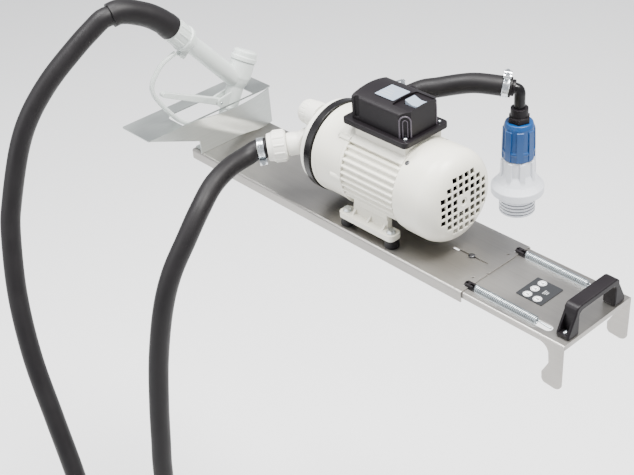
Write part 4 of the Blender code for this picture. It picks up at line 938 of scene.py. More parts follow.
def make_fan_cover():
    """The cup over the fan: a rolled front lip, a deep shoulder and the grid of square holes."""
    length = COVER_RIGHT - COVER_LEFT
    wall = 0.0008
    flat, shoulder = MOTOR_RADIUS - COVER_ROUND, length - COVER_ROUND
    lip = 0.0012
    outer = [(0.0, length)] + arc(flat, shoulder, COVER_ROUND, 90, 0, 20)
    outer += [(MOTOR_RADIUS, 0.0090), (MOTOR_RADIUS - lip, 0.0080), (MOTOR_RADIUS - lip, 0.0)]
    inner = [(MOTOR_RADIUS - lip - wall, 0.0)]
    inner += arc(flat, shoulder, COVER_ROUND - wall - lip, 0, 90, 20) + [(0.0, length - wall)]
    shape = moved(turned(outer + inner, 128), (COVER_LEFT, 0, AXIS_Z), ALONG_X)
    cover = add_object("fan_cowl", shape, look["paint"])
    pitch, size = 0.0103, 0.0078
    holes = []
    for row in range(8):
        for column in range(8):
            y, z = (column - 3.5) * pitch, (row - 3.5) * pitch
            distance = sqrt(y * y + z * z)
            if distance > 0.0402 or distance < 0.0080:
                continue
            hole = rounded(size, size, 0.0006, 3, y, AXIS_Z + z)
            holes.append(prism(hole, COVER_RIGHT - 0.023, COVER_RIGHT + 0.007, "X"))
    carve(cover, merged(holes))
    dimple = [(0.0, 0.0), (0.0052, 0.0), (0.0060, 0.0008), (0.0060, 0.004), (0.0, 0.004)]
    carve(cover, moved(turned(dimple, 32), (COVER_RIGHT - 0.0009, 0, AXIS_Z), ALONG_X))
    soften(cover, 0.0003, 2, 40)
    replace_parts(cover, "fan_cover")
    for degrees in (53, 127, 233, 307):
        place = ring_place(degrees, MOTOR_RADIUS - lip - 0.0004, COVER_LEFT + 0.0046)
        screw(f"cowl_screw_{degrees}", place, outwards(degrees), 0.0034, "dark", "frame", 0.0016)


# ---------------------------------------------------------------- switch box

BOX_X = -0.0205
LID_X = -0.0163
LID_LENGTH = 0.0925
LID_WIDTH = 0.0650
LID_LOW = BOX_BOTTOM + 0.0080 + GAP
LID_SHOULDER = 0.1975
LID_CROWN = 0.2030
ROCKER_X = 0.0180


def lid_section(shrink):
    """The lid's arched section, as (y, z)."""
    half = LID_WIDTH / 2 - shrink
    shoulder, crown = LID_SHOULDER - shrink, LID_CROWN - shrink
    outline = [(half, LID_LOW)]
    outline += arc(half - 0.0025, shoulder - 0.0025, 0.0025, 0, 60, 4)
    steps = 20
    for i in range(1, steps):
        y = half * (1 - 2 * i / steps)
        outline.append((y, shoulder + (crown - shoulder) * (1 - (y / half) ** 2)))
    outline += arc(-half + 0.0025, shoulder - 0.0025, 0.0025, 120, 180, 4)
    return outline + [(-half, LID_LOW)]


def make_box():
    top = BOX_BOTTOM + 0.0080
    outline = rounded(0.1120, 0.0790, 0.0070, 8, BOX_X)
    base = add_object("box_tray", prism(outline, BOX_BOTTOM, top), look["black"])
    carve(base, prism(rounded(0.0880, 0.0580, 0.0040, 6, LID_X), BOX_BOTTOM + 0.003, top + 0.004))
    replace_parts(soften(base, 0.0012, 3), "box_base")

    left, right, half = LID_X - LID_LENGTH / 2, LID_X + LID_LENGTH / 2, LID_WIDTH / 2
    lid = add_object("box_cover", prism(lid_section(0.0), left, right, "X"), look["black"])
    carve(lid, box((LID_LENGTH - 0.014, LID_WIDTH - 0.014, 0.030), (LID_X, 0, LID_LOW + 0.0140)))
    for side in (-1, 1):
        place = (left + 0.0085, side * (half + 0.0014), LID_LOW + 0.0030)
        carve(lid, moved(rod(0.0046, 0.0320, 36, 0.0040), place))
        make_corner_niche(lid, side, right, half)
    carve(lid, prism(rounded(0.0313, 0.0440, 0.0020, 5, 0.01365, 0), 0.1990, 0.2190))
    outline = rounded(0.0330, 0.0320, 0.0015, 5, -0.0205, -0.0020)
    carve(lid, prism(outline, LID_CROWN - 0.0009, LID_CROWN + 0.004))
    carve(lid, box((0.0234, 0.0182, 0.0200), (ROCKER_X - 0.0004, 0, 0.1960)))
    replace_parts(soften(lid, 0.0007, 3, 45), "box_lid")

    outline = rounded(0.0318, 0.0308, 0.0012, 5, -0.0205, -0.0020)
    panel = prism(outline, LID_CROWN - 0.0008, LID_CROWN - 0.0003)
    add_object("box_label", panel, look["grey"])
    for row in range(3):
        place = (-0.0235 - 0.0010 * row, -0.0105 + 0.0055 * row, LID_CROWN - 0.00025)
        mark = box((0.0200 - 0.0045 * row, 0.0014, 0.0001), place)
        add_object(f"box_label_line_{row}", mark, look["icon_grey"])
    make_rocker()
    gland_place = (LID_X - 0.0180, half + GAP, 0.1800)
    profile = [(0.0, 0.0), (0.0100, 0.0), (0.0100, 0.0060), (0.0085, 0.0070), (0.0085, 0.0150)]
    profile += [(0.0062, 0.0186), (0.0040, 0.0190), (0.0040, 0.0120), (0.0, 0.0120)]
    gland = add_object("power_gland", turned(eased(profile, 0.0006), 48), look["black"], "frame", gland_place,
                       facing((0, 1, 0)))
    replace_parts(gland, "cable_gland")


def make_corner_niche(lid, side, right, half):
    """A corner of the lid cut flat, with an arched rim inside another and a screw at their foot."""
    outwards_there = Vector((1, side, 0)).normalized()
    across = Vector((-outwards_there.y, outwards_there.x, 0))
    foot = Vector((right - 0.0053, side * (half - 0.0053), LID_LOW))
    axes = Matrix((across, Vector((0, 0, 1)), outwards_there)).transposed()
    turn = Matrix.Translation(foot) @ axes.to_4x4()
    carve(lid, placed(box((0.0400, 0.1200, 0.0200), (0.0, 0.0300, 0.0100)), turn))
    for word, radius, height, thick in (("outer", 0.0070, 0.0292, 0.0010), ("inner", 0.0030, 0.0240, 0.0007)):
        rim = [turn @ Vector((a, c, 0.0002)) for a, c in arch(radius, 0.0006, height)]
        # The rims take the lighter finish, a painted highlight on their edges.
        tube(f"box_rim_{word}_{side + 1}", rim, thick, look["rim_painted_highlight"], "frame", 3)
    place = foot + outwards_there * 0.0036 + Vector((0, 0, 0.0002))
    screw(f"box_screw_{side + 1}", place, (0, 0, 1), 0.0029, "zinc", "frame", 0.0026)


def arch(radius, low, height):
    """An upright arch: up one side, over the top and down the other."""
    return [(-radius, low)] + arc(0.0, height - radius, radius, 180, 0, 14) + [(radius, low)]


def make_rocker():
    """The rocker, rocked to one side, with its marks."""
    profile = [(-0.0105, -0.0015), (0.0105, -0.0015), (0.0108, 0.0070)]
    profile += [(0.0054, 0.0061), (0.0, 0.0060), (-0.0054, 0.0076), (-0.0108, 0.0096)]
    shape = prism(profile, -0.0085, 0.0085, "Y")
    rocker = add_object("rocker_cap", shape, look["grey"], "rocker", (ROCKER_X, 0, 0.1950))
    soften(rocker, 0.0006, 3, 30)
    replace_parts(rocker, "rocker_switch")
    bar = box((0.0040, 0.0010, 0.0003), (ROCKER_X + 0.0070, 0, 0.1950 + 0.0064))
    add_object("rocker_bar", bar, look["icon_grey"], "rocker")


# ---------------------------------------------------------------- pump head

HEAD_LEFT = -0.1420
HEAD_RADIUS = 0.0600
COVER_HEAD_LEFT = -0.1600
COVER_HEAD_RADIUS = 0.0440


def make_pump():
    ring = tube_ring(RING_RADIUS, 0.0300, RING_RIGHT - RING_LEFT, 128, 0.0010)
    ring = moved(ring, (RING_LEFT, 0, AXIS_Z), ALONG_X)
    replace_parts(add_object("adapter", ring, look["black_gloss"]), "adapter_ring")

    length = RING_LEFT - GAP - HEAD_LEFT
    profile = [(0.0320, 0.0), (HEAD_RADIUS - 0.0024, 0.0), (HEAD_RADIUS, 0.0026)]
    profile += [(HEAD_RADIUS, length - 0.0012), (HEAD_RADIUS - 0.0008, length), (0.0320, length)]
    head = moved(turned(eased(profile, 0.0010), 128), (HEAD_LEFT, 0, AXIS_Z), ALONG_X)
    head = add_object("diaphragm_head", head, look["pump_white"])
    for i in range(8):
        degrees = 22.5 + 45 * i
        well = moved(rod(0.0036, 0.0040, 24, 0), ring_place(degrees, 0.0528, HEAD_LEFT - 0.0010), ALONG_X)
        carve(head, well)
        place = ring_place(degrees, 0.0528, HEAD_LEFT + 0.0029)
        screw(f"head_screw_{i}", place, (-1, 0, 0), 0.0029, "dark", "frame", 0.0019)
    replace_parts(head, "pump_head")

    thick = HEAD_LEFT - GAP - COVER_HEAD_LEFT
    profile = [(0.0, 0.0), (COVER_HEAD_RADIUS - 0.005, 0.0), (COVER_HEAD_RADIUS, 0.005)]
    profile += [(COVER_HEAD_RADIUS, thick), (0.0, thick)]
    shape = moved(turned(eased(profile, 0.0022), 96), (COVER_HEAD_LEFT, 0, AXIS_Z), ALONG_X)
    cover = add_object("valve_cover", shape, look["pump_white"])
    cap_y, cap_z = -0.0135, 0.1305
    boss = rod(0.0184, thick - 0.001, 64, 0.0012)
    join_on(cover, moved(boss, (COVER_HEAD_LEFT + 0.0002, cap_y, cap_z), ALONG_X))
    for degrees in (0, 60, 120, 180, 240, 300):
        rib = box((thick - 0.0060, 0.0200, 0.0026), (COVER_HEAD_LEFT + thick / 2 + 0.0028, 0.0345, 0.0))
        join_on(cover, placed(rib, about_axle(degrees + 28)))
    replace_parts(soften(cover, 0.0007, 3, 40), "head_cover")

    profile = [(0.0, 0.0), (0.0095, 0.0), (0.0150, 0.0028), (0.0170, 0.0080), (0.0170, 0.0190), (0.0, 0.0190)]
    place = (COVER_HEAD_LEFT - GAP - 0.0190, cap_y, cap_z)
    knob = moved(turned(eased(profile, 0.0028, 5), 72), place, ALONG_X)
    cap = add_object("bypass_knob", knob, look["pump_white"])
    for i in range(18):
        degrees = radians(20 * i)
        spot = Vector(place) + Vector((0.0120, 0.0176 * cos(degrees), 0.0176 * sin(degrees)))
        carve(cap, moved(rod(0.0011, 0.0110, 10, 0), spot - Vector((0.0035, 0, 0)), ALONG_X))
    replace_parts(cap, "bypass_cap")


def make_outlet(hose_start):
    """The angled delivery port, its union nut with grips, and the barb's shoulder."""
    face = COVER_HEAD_LEFT - GAP
    root = Vector((face - 0.0060, -0.0265, AXIS_Z))
    direction = (hose_start - root).normalized()
    reach = (hose_start - root).length - 3 * GAP
    back = reach - 0.0260 - GAP
    profile = [(0.0, 0.0), (0.0160, 0.0), (0.0160, back - 0.003), (0.0150, back), (0.0115, back)]
    profile += [(0.0115, reach), (0.0, reach)]
    elbow = add_object("delivery_port", moved(turned(eased(profile, 0.0010), 64), root, facing(direction)),
                       look["pump_white"])
    join_on(elbow, moved(rod(0.0190, 0.0115, 64, 0.0022), (face - 0.0118, root.y, AXIS_Z), ALONG_X))
    carve(elbow, box((0.0400, 0.1000, 0.1000), (face + 0.0200, root.y, AXIS_Z)))
    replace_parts(soften(elbow, 0.0008, 3, 45), "outlet_elbow")

    profile = [(0.0118, 0.0), (0.0190, 0.0), (0.0212, 0.0020), (0.0212, 0.0180), (0.0196, 0.0200)]
    profile += [(0.0186, 0.0260), (0.0118, 0.0260)]
    start = root + direction * (back + GAP)
    nut = add_object("union_nut", moved(turned(eased(profile, 0.0010), 96), start, facing(direction)),
                     look["pump_white"])
    add_grips(nut, 12, (0.0020, 0.0150, 16, (0.0202, 0, 0.0024)), start, direction)
    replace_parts(nut, "outlet_nut")


def make_inlet(hose_start):
    """The suction fitting on the far side, one smooth bent moulding with a collar."""
    foot = Vector((-0.1540, COVER_HEAD_RADIUS + GAP, AXIS_Z))
    heel = Vector((-0.1540, 0.0590, AXIS_Z))
    corner = Vector((-0.1540, 0.0730, 0.1040))
    knee = Vector((-0.1210, 0.0775, 0.1235))
    end = hose_start - (hose_start - knee).normalized() * GAP
    pipe = rod(0.0080, (heel - foot).length, 40, 0.0003)
    inlet = add_object("suction_port", pipe, look["pump_white"], "frame", foot, facing(heel - foot))
    baked(inlet)
    for start, stop, radius in ((heel, corner, 0.0080), (corner, knee, 0.0112), (knee, end, 0.0118)):
        run = stop - start
        join_on(inlet, moved(rod(radius, run.length, 40, 0.0003), start, facing(run)))
    for place, radius in ((heel, 0.0083), (corner, 0.0119), (knee, 0.0126)):
        ball = bmesh.new()
        bmesh.ops.create_uvsphere(ball, u_segments=32, v_segments=16, radius=radius)
        join_on(inlet, moved(ball, place))
    join_on(inlet, moved(rod(0.0165, 0.0090, 48, 0.0012), knee + (end - knee) * 0.45, facing(end - knee)))
    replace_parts(inlet, "inlet_elbow")


def make_clamp(word, route, distance, outward):
    """A worm-drive clamp near a hose's first point: slotted band, pressed housing and a slotted screw."""
    direction = (route[1] - route[0]).normalized()
    place = route[0] + direction * distance
    inner = HOSE_RADIUS + 0.0004
    side = Vector(outward).normalized()
    side = (side - direction * side.dot(direction)).normalized()
    across = direction.cross(side)
    frame_matrix = Matrix.Translation(place) @ Matrix((across, direction, side)).transposed().to_4x4()
    profile = [(inner, -0.0045), (inner + 0.0016, -0.0045), (inner + 0.0010, -0.0038)]
    profile += [(inner + 0.0010, 0.0038), (inner + 0.0016, 0.0045), (inner, 0.0045)]
    to_y = Vector((0, 1, 0)).to_track_quat("Z", "X")
    shape = placed(moved(turned(profile, 96), (0, 0, 0), to_y), frame_matrix)
    band = add_object(f"worm_clamp_{word}", shape, look["zinc"])
    slots = []
    for i in range(14):
        slot = box((0.0011, 0.0052, 0.0030), (0, 0, inner + 0.0016))
        turn = Matrix.Rotation(radians(40 + 8.0 * i), 4, "Y")
        slots.append(placed(slot, frame_matrix @ turn))
    carve(band, merged(slots))
    housing = [(-0.0062, inner + 0.0006), (0.0062, inner + 0.0006), (0.0062, inner + 0.0040)]
    housing += arc(0.0, inner + 0.0044, 0.0046, 10, 170, 10) + [(-0.0062, inner + 0.0040)]
    shell = prism(housing, -0.0052, 0.0052, "Y")
    join_on(band, placed(shell, frame_matrix))
    tongue = box((0.0150, 0.0080, 0.0010), (0.0060, 0, inner + 0.0017))
    join_on(band, placed(tongue, frame_matrix))
    worm = moved(rod(0.0030, 0.0200, 28, 0.0004), (-0.0120, 0, inner + 0.0050), ALONG_X)
    join_on(band, placed(worm, frame_matrix))
    head = moved(rod(0.0036, 0.0034, 6, 0), (-0.0128, 0, inner + 0.0050), ALONG_X)
    join_on(band, placed(head, frame_matrix))
    cut = box((0.0016, 0.0090, 0.0010), (-0.0128, 0, inner + 0.0050))
    carve(band, placed(cut, frame_matrix))
    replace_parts(soften(band, 0.0002), f"clamp_{word}")


# ---------------------------------------------------------------- drum coupling

COUPLER = (0.0279, 0.1842, 0.0)
COUPLER_BASE = -0.0060
CORNER_Z = 0.1501
ELBOW_RADIUS = 0.0076


def add_ribs(piece, section, half, start):
    """Joins eight ribs on to a piece, round the coupling's axis."""
    for i in range(8):
        turn = Matrix.Translation(COUPLER) @ Matrix.Rotation(radians(45 * i + start), 4, "Z")
        join_on(piece, placed(prism(section, -half, half, "Y"), turn))


def make_flange():
    base = COUPLER_BASE
    profile = [(0.0, base - 0.0300), (0.0250, base - 0.0300), (0.0250, base), (0.0356, base)]
    profile += [(0.0366, base + 0.0010), (0.0366, 0.0048), (0.0352, 0.0062), (0.0290, 0.0130)]
    profile += [(0.0219, 0.0255), (0.0212, 0.0485), (0.0110, 0.0485), (0.0110, 0.1030), (0.0, 0.1030)]
    flange = add_object("bung_flange", turned(eased(profile, 0.0010, 4), 96), look["white"], "frame", COUPLER)
    baked(flange)
    rib = [(0.0120, 0.0050), (0.0335, 0.0062), (0.0246, 0.0200), (0.0236, 0.0465), (0.0120, 0.0470)]
    add_ribs(flange, rib, 0.0034, 10)
    for z in (base - 0.0060, base - 0.0110, base - 0.0160, base - 0.0210, base - 0.0260):
        thread = turned([(0.0240, z - 0.0014), (0.0262, z), (0.0240, z + 0.0014)], 64)
        join_on(flange, moved(thread, COUPLER))
    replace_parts(soften(flange, 0.0006, 3, 45), "drum_flange")


def make_blue_sleeve():
    low = 0.0485 + GAP
    profile = [(0.0113, low), (0.0216, low), (0.0216, 0.0590), (0.0224, 0.0600), (0.0224, 0.0630)]
    profile += [(0.0208, 0.0645), (0.0204, 0.0972), (0.0186, 0.1030), (0.0113, 0.1032)]
    sleeve = add_object("blue_sleeve", turned(eased(profile, 0.0012), 96), look["blue"], "sleeve", COUPLER)
    baked(sleeve)
    rib = [(0.0180, 0.0496), (0.0226, 0.0500), (0.0224, 0.0700), (0.0216, 0.0940), (0.0180, 0.0960)]
    add_ribs(sleeve, rib, 0.0046, 0)
    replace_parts(soften(sleeve, 0.0008, 3, 30), "coupling_sleeve")


def make_hex_adapter():
    nut = add_object("reducer", moved(prism(hexagon(0.0158, 8), 0.1035, 0.1108), COUPLER), look["black"])
    profile = [(0.0, 0.1095), (0.0120, 0.1095), (0.0120, 0.1236), (0.0, 0.1236)]
    join_on(nut, moved(turned(eased(profile, 0.0008), 48), COUPLER))
    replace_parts(soften(nut, 0.0006, 3), "hex_adapter")


def make_coupler_elbow(hose_start):
    corner = Vector((COUPLER[0], COUPLER[1], CORNER_Z))
    direction = (hose_start - corner).normalized()
    upright = Vector((0, 0, 1))
    route = [corner - upright * (CORNER_Z - 0.1239), corner - upright * 0.0110, corner - upright * 0.0060]
    route += [corner + (direction - upright) * 0.0016, corner + direction * 0.0060]
    route += [hose_start - direction * 2 * GAP]
    elbow = tube("elbow", smooth_route(route, 0.0008), ELBOW_RADIUS, look["black_gloss"], "frame", 12)
    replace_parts(elbow, "coupler_elbow")
    collar = moved(rod(0.0112, 0.0042, 64, 0.0010), hose_start - direction * 0.0046, facing(direction))
    add_object("elbow_collar", collar, look["black"])


# ---------------------------------------------------------------- nozzle

NOZZLE_X = -0.385
NOZZLE_START = Vector((NOZZLE_X, -0.0717, 0.2117))
NOZZLE_AXIS = Vector((0, 0.65, -0.76)).normalized()
SPOUT_AXIS = Vector((0, 0.495, 0.869)).normalized()
BONNET_TOP = Vector((NOZZLE_X, 0.0541, 0.1326))
NUT_LENGTH = 0.0330
BARREL_END = 0.1500
CAP_LENGTH = 0.0160


def make_nozzle_body():
    start = NOZZLE_START + NOZZLE_AXIS * (NUT_LENGTH + GAP)
    length = BARREL_END - NUT_LENGTH
    profile = [(0.0, 0.0), (0.0156, 0.0), (0.0156, 0.0060), (0.0130, 0.0085), (0.0134, 0.0400)]
    profile += [(0.0136, length), (0.0, length)]
    barrel = moved(turned(eased(profile, 0.0012, 4), 96), start, facing(NOZZLE_AXIS))
    body = add_object("spout_valve", barrel, look["milky"], "nozzle")
    down = -SPOUT_AXIS
    top = BONNET_TOP + down * (CAP_LENGTH + GAP)
    profile = [(0.0, 0.0), (0.0185, 0.0), (0.0185, 0.0240), (0.0160, 0.0330), (0.0130, 0.0400)]
    profile += [(0.0130, 0.0700), (0.0138, 0.0712), (0.0138, 0.0750), (0.0128, 0.0762), (0.0125, 0.0880)]
    profile += [(0.0095, 0.0880), (0.0095, 0.0500), (0.0, 0.0500)]
    join_on(body, moved(turned(eased(profile, 0.0012, 4), 96), top, facing(down)))
    square = Vector((0.0, NOZZLE_AXIS.z, -NOZZLE_AXIS.y))
    lug_place = NOZZLE_START + NOZZLE_AXIS * (NUT_LENGTH + 0.0075) + square * 0.0140
    lug = prism(rounded(0.0110, 0.0210, 0.0030, 5), -0.0055, 0.0055)
    join_on(body, moved(lug, lug_place, facing(NOZZLE_AXIS)))
    for side in (-1, 1):
        cheek = arc(-0.0080, 0.0720, 0.0070, 100, 250, 12) + [(0.0180, 0.0610), (0.0200, 0.0830)]
        low, high = sorted((NOZZLE_X + side * 0.0053, NOZZLE_X + side * 0.0083))
        join_on(body, prism(cheek, low, high, "X"))
    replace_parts(soften(body, 0.0009, 3, 40), "nozzle_body")


def make_nozzle_nut():
    profile = [(0.0100, 0.0), (0.0160, 0.0), (0.0172, 0.0020), (0.0172, 0.0262), (0.0194, 0.0270)]
    profile += [(0.0194, NUT_LENGTH), (0.0100, NUT_LENGTH)]
    shape = moved(turned(eased(profile, 0.0010), 96), NOZZLE_START, facing(NOZZLE_AXIS))
    nut = add_object("hose_nut", shape, look["milky"], "swivel_nut")
    add_grips(nut, 10, (0.0017, 0.0220, 14, (0.0166, 0, 0.0032)), NOZZLE_START, NOZZLE_AXIS)
    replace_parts(nut, "nozzle_nut")


def make_bonnet():
    down = -SPOUT_AXIS
    profile = [(0.0, 0.0), (0.0140, 0.0), (0.0180, 0.0020), (0.0186, 0.0090), (0.0200, 0.0098)]
    profile += [(0.0200, CAP_LENGTH), (0.0, CAP_LENGTH)]
    shape = moved(turned(eased(profile, 0.0010, 4), 96), BONNET_TOP, facing(down))
    bonnet = add_object("valve_cap", shape, look["milky"], "nozzle")
    carve(bonnet, moved(tube_ring(0.0085, 0.0070, 0.0016, 48, 0), BONNET_TOP - down * 0.0006, facing(down)))
    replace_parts(soften(bonnet, 0.0004, 2, 40), "nozzle_bonnet")


def make_guard():
    route = [(-0.0705, 0.1730), (-0.0880, 0.1680), (-0.1028, 0.1590), (-0.1165, 0.1410)]
    route += [(-0.1149, 0.1215), (-0.0945, 0.0876), (-0.0749, 0.0648), (-0.0450, 0.0480)]
    route += [(-0.0150, 0.0450)]
    points = [Vector((NOZZLE_X, y, z)) for y, z in route]
    guard = tube("hand_guard", smooth_route(points, 0.003), 0.0035, look["milky"], "nozzle", 8)
    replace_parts(guard, "trigger_guard")


def make_lever():
    pivot = Vector((NOZZLE_X, -0.0080, 0.0720))
    tip_y = -0.1010
    tip_z = 0.1200
    angle = atan2(tip_z - pivot.z, tip_y - pivot.y)
    reach = sqrt((tip_z - pivot.z) ** 2 + (tip_y - pivot.y) ** 2)
    outline = arc(0.0, 0.0, 0.0055, 90, 270, 12) + arc(reach, 0.0, 0.0040, -90, 90, 12)
    outline = [(pivot.y + a * cos(angle) - b * sin(angle), pivot.z + a * sin(angle) + b * cos(angle))
               for a, b in outline]
    lever = prism(outline, NOZZLE_X - 0.0047, NOZZLE_X + 0.0047, "X")
    lever = add_object("squeeze_lever", lever, look["milky"], "trigger")
    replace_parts(soften(lever, 0.0012, 4, 50), "trigger_lever")
    pin = moved(rod(0.0018, 0.0180, 24, 0.0004), (NOZZLE_X - 0.0090, pivot.y, pivot.z), ALONG_X)
    add_object("lever_pin", pin, look["zinc"], "nozzle")


# ---------------------------------------------------------------- hoses

FLOOR = -0.930
COIL_RADIUS = 0.140
COIL_STEP = 0.029
COIL_LIFT = 0.0285
COIL_BEND = 0.120
COIL_X = -0.095
COIL_Y = -0.495
DOWN_ANGLE = 108.0
COIL_TRAVEL = 672.0


def coil_place(radius, degrees, z):
    """A point over the coil, at a radius and an angle about its centre."""
    angle = radians(degrees)
    return Vector((COIL_X + radius * cos(angle), COIL_Y + radius * sin(angle), z))


def step_up(share):
    """A smooth rise from 0 to 1."""
    share = min(1.0, max(0.0, share))
    return share * share * (3 - 2 * share)


def coil_points():
    """The hose's unseen length, wound on the floor: round from the down leg and up again."""
    outer, inner = COIL_RADIUS + COIL_STEP, COIL_RADIUS
    entry = COIL_BEND / outer * 180 / pi
    leaving = COIL_TRAVEL - COIL_BEND / inner * 180 / pi
    bend = [radians(90 * i / 8) for i in range(9)]
    stops = [(entry * (1 - cos(u)), COIL_BEND * (1 - sin(u))) for u in bend]
    steps = round((leaving - entry) / 12)
    stops += [(entry + (leaving - entry) * i / steps, 0.0) for i in range(1, steps)]
    rest = COIL_TRAVEL - leaving
    stops += [(COIL_TRAVEL - rest * (1 - cos(u)), COIL_BEND * (1 - sin(u))) for u in reversed(bend)]
    route = []
    for travel, rise in stops:
        radius = outer + (inner - outer) * step_up((travel - 50) / 60)
        level = FLOOR + HOSE_RADIUS + COIL_LIFT * step_up((travel - 260) / 100)
        route.append(coil_place(radius, DOWN_ANGLE - travel, level + rise))
    return route


DOWN_POINTS = [
    Vector((-0.2000, -0.0670, 0.0868)),
    Vector((-0.2083, -0.0770, 0.0855)),
    Vector((-0.2124, -0.0950, 0.0805)),
    Vector((-0.2099, -0.1250, 0.0785)),
    Vector((-0.2011, -0.1620, 0.0710)),
    Vector((-0.1884, -0.1980, 0.0530)),
    Vector((-0.1831, -0.2280, 0.0250)),
    Vector((-0.1834, -0.2580, -0.0136)),
    Vector((-0.1836, -0.2800, -0.0603)),
    Vector((-0.1823, -0.3000, -0.1275)),
    Vector((-0.1771, -0.3150, -0.1911)),
    Vector((-0.1696, -0.3280, -0.2513)),
    Vector((-0.1638, -0.3380, -0.3073)),
    Vector((-0.1550, -0.3480, -0.4300)),
    Vector((-0.1500, -0.3430, -0.5800)),
    coil_place(COIL_RADIUS + COIL_STEP, DOWN_ANGLE, -0.7200),
]

UP_POINTS = [
    coil_place(COIL_RADIUS, DOWN_ANGLE - COIL_TRAVEL, -0.7400),
    Vector((-0.2230, -0.4370, -0.6000)),
    Vector((-0.2260, -0.4340, -0.4700)),
    Vector((-0.2410, -0.4280, -0.3900)),
    Vector((-0.2700, -0.4189, -0.3222)),
    Vector((-0.3120, -0.4100, -0.2473)),
    Vector((-0.3550, -0.4009, -0.1633)),
    Vector((-0.3900, -0.3846, -0.0812)),
    Vector((-0.4130, -0.3618, 0.0011)),
    Vector((-0.4200, -0.3453, 0.0440)),
    Vector((-0.4240, -0.3162, 0.1085)),
    Vector((-0.4220, -0.2898, 0.1517)),
    Vector((-0.4180, -0.2520, 0.1905)),
    Vector((-0.4120, -0.2073, 0.2241)),
    Vector((-0.4080, -0.1808, 0.2415)),
    Vector((-0.4045, -0.1646, 0.2516)),
    Vector((-0.4021, -0.1534, 0.2534)),
]

SUCTION_POINTS = [
    Vector((0.0190, 0.1773, 0.1524)),
    Vector((0.0074, 0.1682, 0.1548)),
    Vector((-0.0163, 0.1499, 0.1581)),
    Vector((-0.0340, 0.1362, 0.1563)),
    Vector((-0.0580, 0.1176, 0.1507)),
    Vector((-0.0728, 0.1061, 0.1475)),
    Vector((-0.0887, 0.0921, 0.1389)),
    Vector((-0.1000, 0.0870, 0.1335)),
]

SLEEVE_POINTS = [
    Vector((-0.3850, -0.0720, 0.2120)),
    Vector((-0.3850, -0.0795, 0.2208)),
    Vector((-0.3870, -0.0860, 0.2275)),
    Vector((-0.3900, -0.0985, 0.2374)),
    Vector((-0.3930, -0.1117, 0.2448)),
    Vector((-0.3965, -0.1280, 0.2520)),
    Vector((-0.3995, -0.1415, 0.2552)),
    Vector((-0.4020, -0.1530, 0.2535)),
]


def make_delivery_hose():
    """The delivery hose in one length, as one fixed mesh."""
    route = smooth_route(DOWN_POINTS + coil_points() + UP_POINTS, 0.008)
    hose = as_mesh(tube("delivery_hose", route, HOSE_RADIUS, look["rubber"], None, 12))
    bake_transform(hose)
    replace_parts(hose, "hose_down", "hose_coil", "hose_up")


def make_suction_hose():
    route = smooth_route(SUCTION_POINTS, 0.004)
    hose = tube("suction_line", route, HOSE_RADIUS - 0.0001, look["rubber"], "frame", 12)
    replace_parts(hose, "suction_hose")


def make_sleeve():
    """The rubber sleeve over the hose's end: a collar at the nozzle, then a slow taper."""
    route = smooth_route(SLEEVE_POINTS, 0.002)
    sleeve = tube("bend_sleeve", route, 0.0169, look["rubber"], "nozzle", 12, sleeve_width)
    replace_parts(sleeve, "hose_sleeve")


def sleeve_width(share):
    collar = 0.035 * (1 - step_up((share - 0.10) / 0.03))
    return 1.04 - 0.04 * min(1.0, 2.0 * share) + collar


# ---------------------------------------------------------------- camera, floor and lights


CAMERA_PLACE = (0.9064, -0.9072, 0.8595)
CAMERA_YAW = 2.4514
CAMERA_PITCH = 0.588
CAMERA_ROLL = -0.0868
CAMERA_LENS = 66.45


def make_camera():
    data = bpy.data.cameras.new("camera")
    data.lens = CAMERA_LENS
    data.sensor_width = 36.0
    data.clip_start = 0.05
    camera = bpy.data.objects.new("camera", data)
    yaw, pitch, roll = CAMERA_YAW, CAMERA_PITCH, CAMERA_ROLL
    forward = Vector((cos(pitch) * cos(yaw), cos(pitch) * sin(yaw), -sin(pitch)))
    right = forward.cross(Vector((0, 0, 1))).normalized()
    up = right.cross(forward)
    turned_right = right * cos(roll) + up * sin(roll)
    turned_up = up * cos(roll) - right * sin(roll)
    basis = Matrix((turned_right, turned_up, -forward)).transposed().to_4x4()
    camera.matrix_world = Matrix.Translation(CAMERA_PLACE) @ basis
    bpy.context.scene.collection.objects.link(camera)
    bpy.context.scene.camera = camera


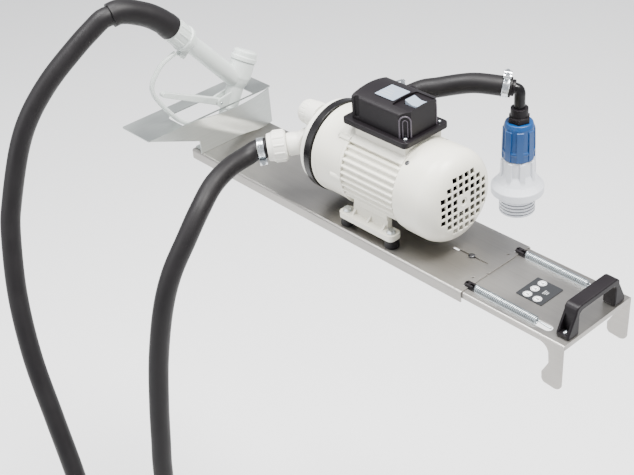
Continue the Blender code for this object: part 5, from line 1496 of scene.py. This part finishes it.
def add_light(name, place, target, size, power, color=(1, 1, 1)):
    data = bpy.data.lights.new(name, "AREA")
    data.shape = "SQUARE"
    data.size = size
    data.energy = power
    data.color = color
    light = bpy.data.objects.new(name, data)
    light.location = place
    light.rotation_euler = (Vector(target) - Vector(place)).to_track_quat("-Z", "Y").to_euler()
    bpy.context.scene.collection.objects.link(light)


def make_stage():
    floor = add_object("floor", box((14.0, 14.0, 0.02), (0, 0, FLOOR - 0.0101)), None, None)
    pale = Nodes("floor_paint", (0.97, 0.97, 0.97), 0.85)
    pale.vary_color(pale.noise(3.0), 0.985, 1.0)
    floor.data.materials.append(pale.material)
    add_light("key", (0.9, 0.3, 2.3), (-0.1, 0, 0), 0.9, 190, (1.0, 0.985, 0.96))
    add_light("fill", (-1.2, -2.4, 1.3), (-0.1, 0, 0), 2.0, 60)
    add_light("top", (-0.7, -0.5, 2.5), (-0.1, 0, 0), 1.2, 150)
    world = bpy.data.worlds.new("studio")
    world.use_nodes = True
    background = world.node_tree.nodes["Background"]
    background.inputs["Color"].default_value = (0.93, 0.95, 1.0, 1.0)
    background.inputs["Strength"].default_value = 0.80
    bpy.context.scene.world = world


# ---------------------------------------------------------------- assembly


def attach():
    """Rides every piece on its body and evens the normals of its meshes."""
    for piece, body in pending:
        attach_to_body(piece, body)
        if piece.type == "MESH":
            even = piece.modifiers.new("even_normals", "WEIGHTED_NORMAL")
            even.keep_sharp = True


def main():
    make_camera()
    make_stage()
    make_delivery_hose()
    make_sleeve()
    make_suction_hose()
    make_main_plate()
    make_slide()
    make_springs()
    make_handle()
    make_label()
    make_pin()
    make_anchors()
    make_holder()
    make_feet()
    make_housing()
    make_shield()
    make_insides()
    make_fan_cover()
    make_box()
    make_pump()
    make_outlet(DOWN_POINTS[0])
    make_inlet(SUCTION_POINTS[-1])
    make_flange()
    make_blue_sleeve()
    make_hex_adapter()
    make_coupler_elbow(SUCTION_POINTS[0])
    make_nozzle_body()
    make_nozzle_nut()
    make_bonnet()
    make_guard()
    make_lever()
    back = list(reversed(SUCTION_POINTS))
    make_clamp("outlet", DOWN_POINTS, 0.0080, (0.3, -0.2, -0.9))
    make_clamp("coupler", SUCTION_POINTS, 0.0080, (0.1, 0.1, 1.0))
    make_clamp("inlet", back, 0.0070, (0.0, 0.3, 1.0))
    attach()


main()
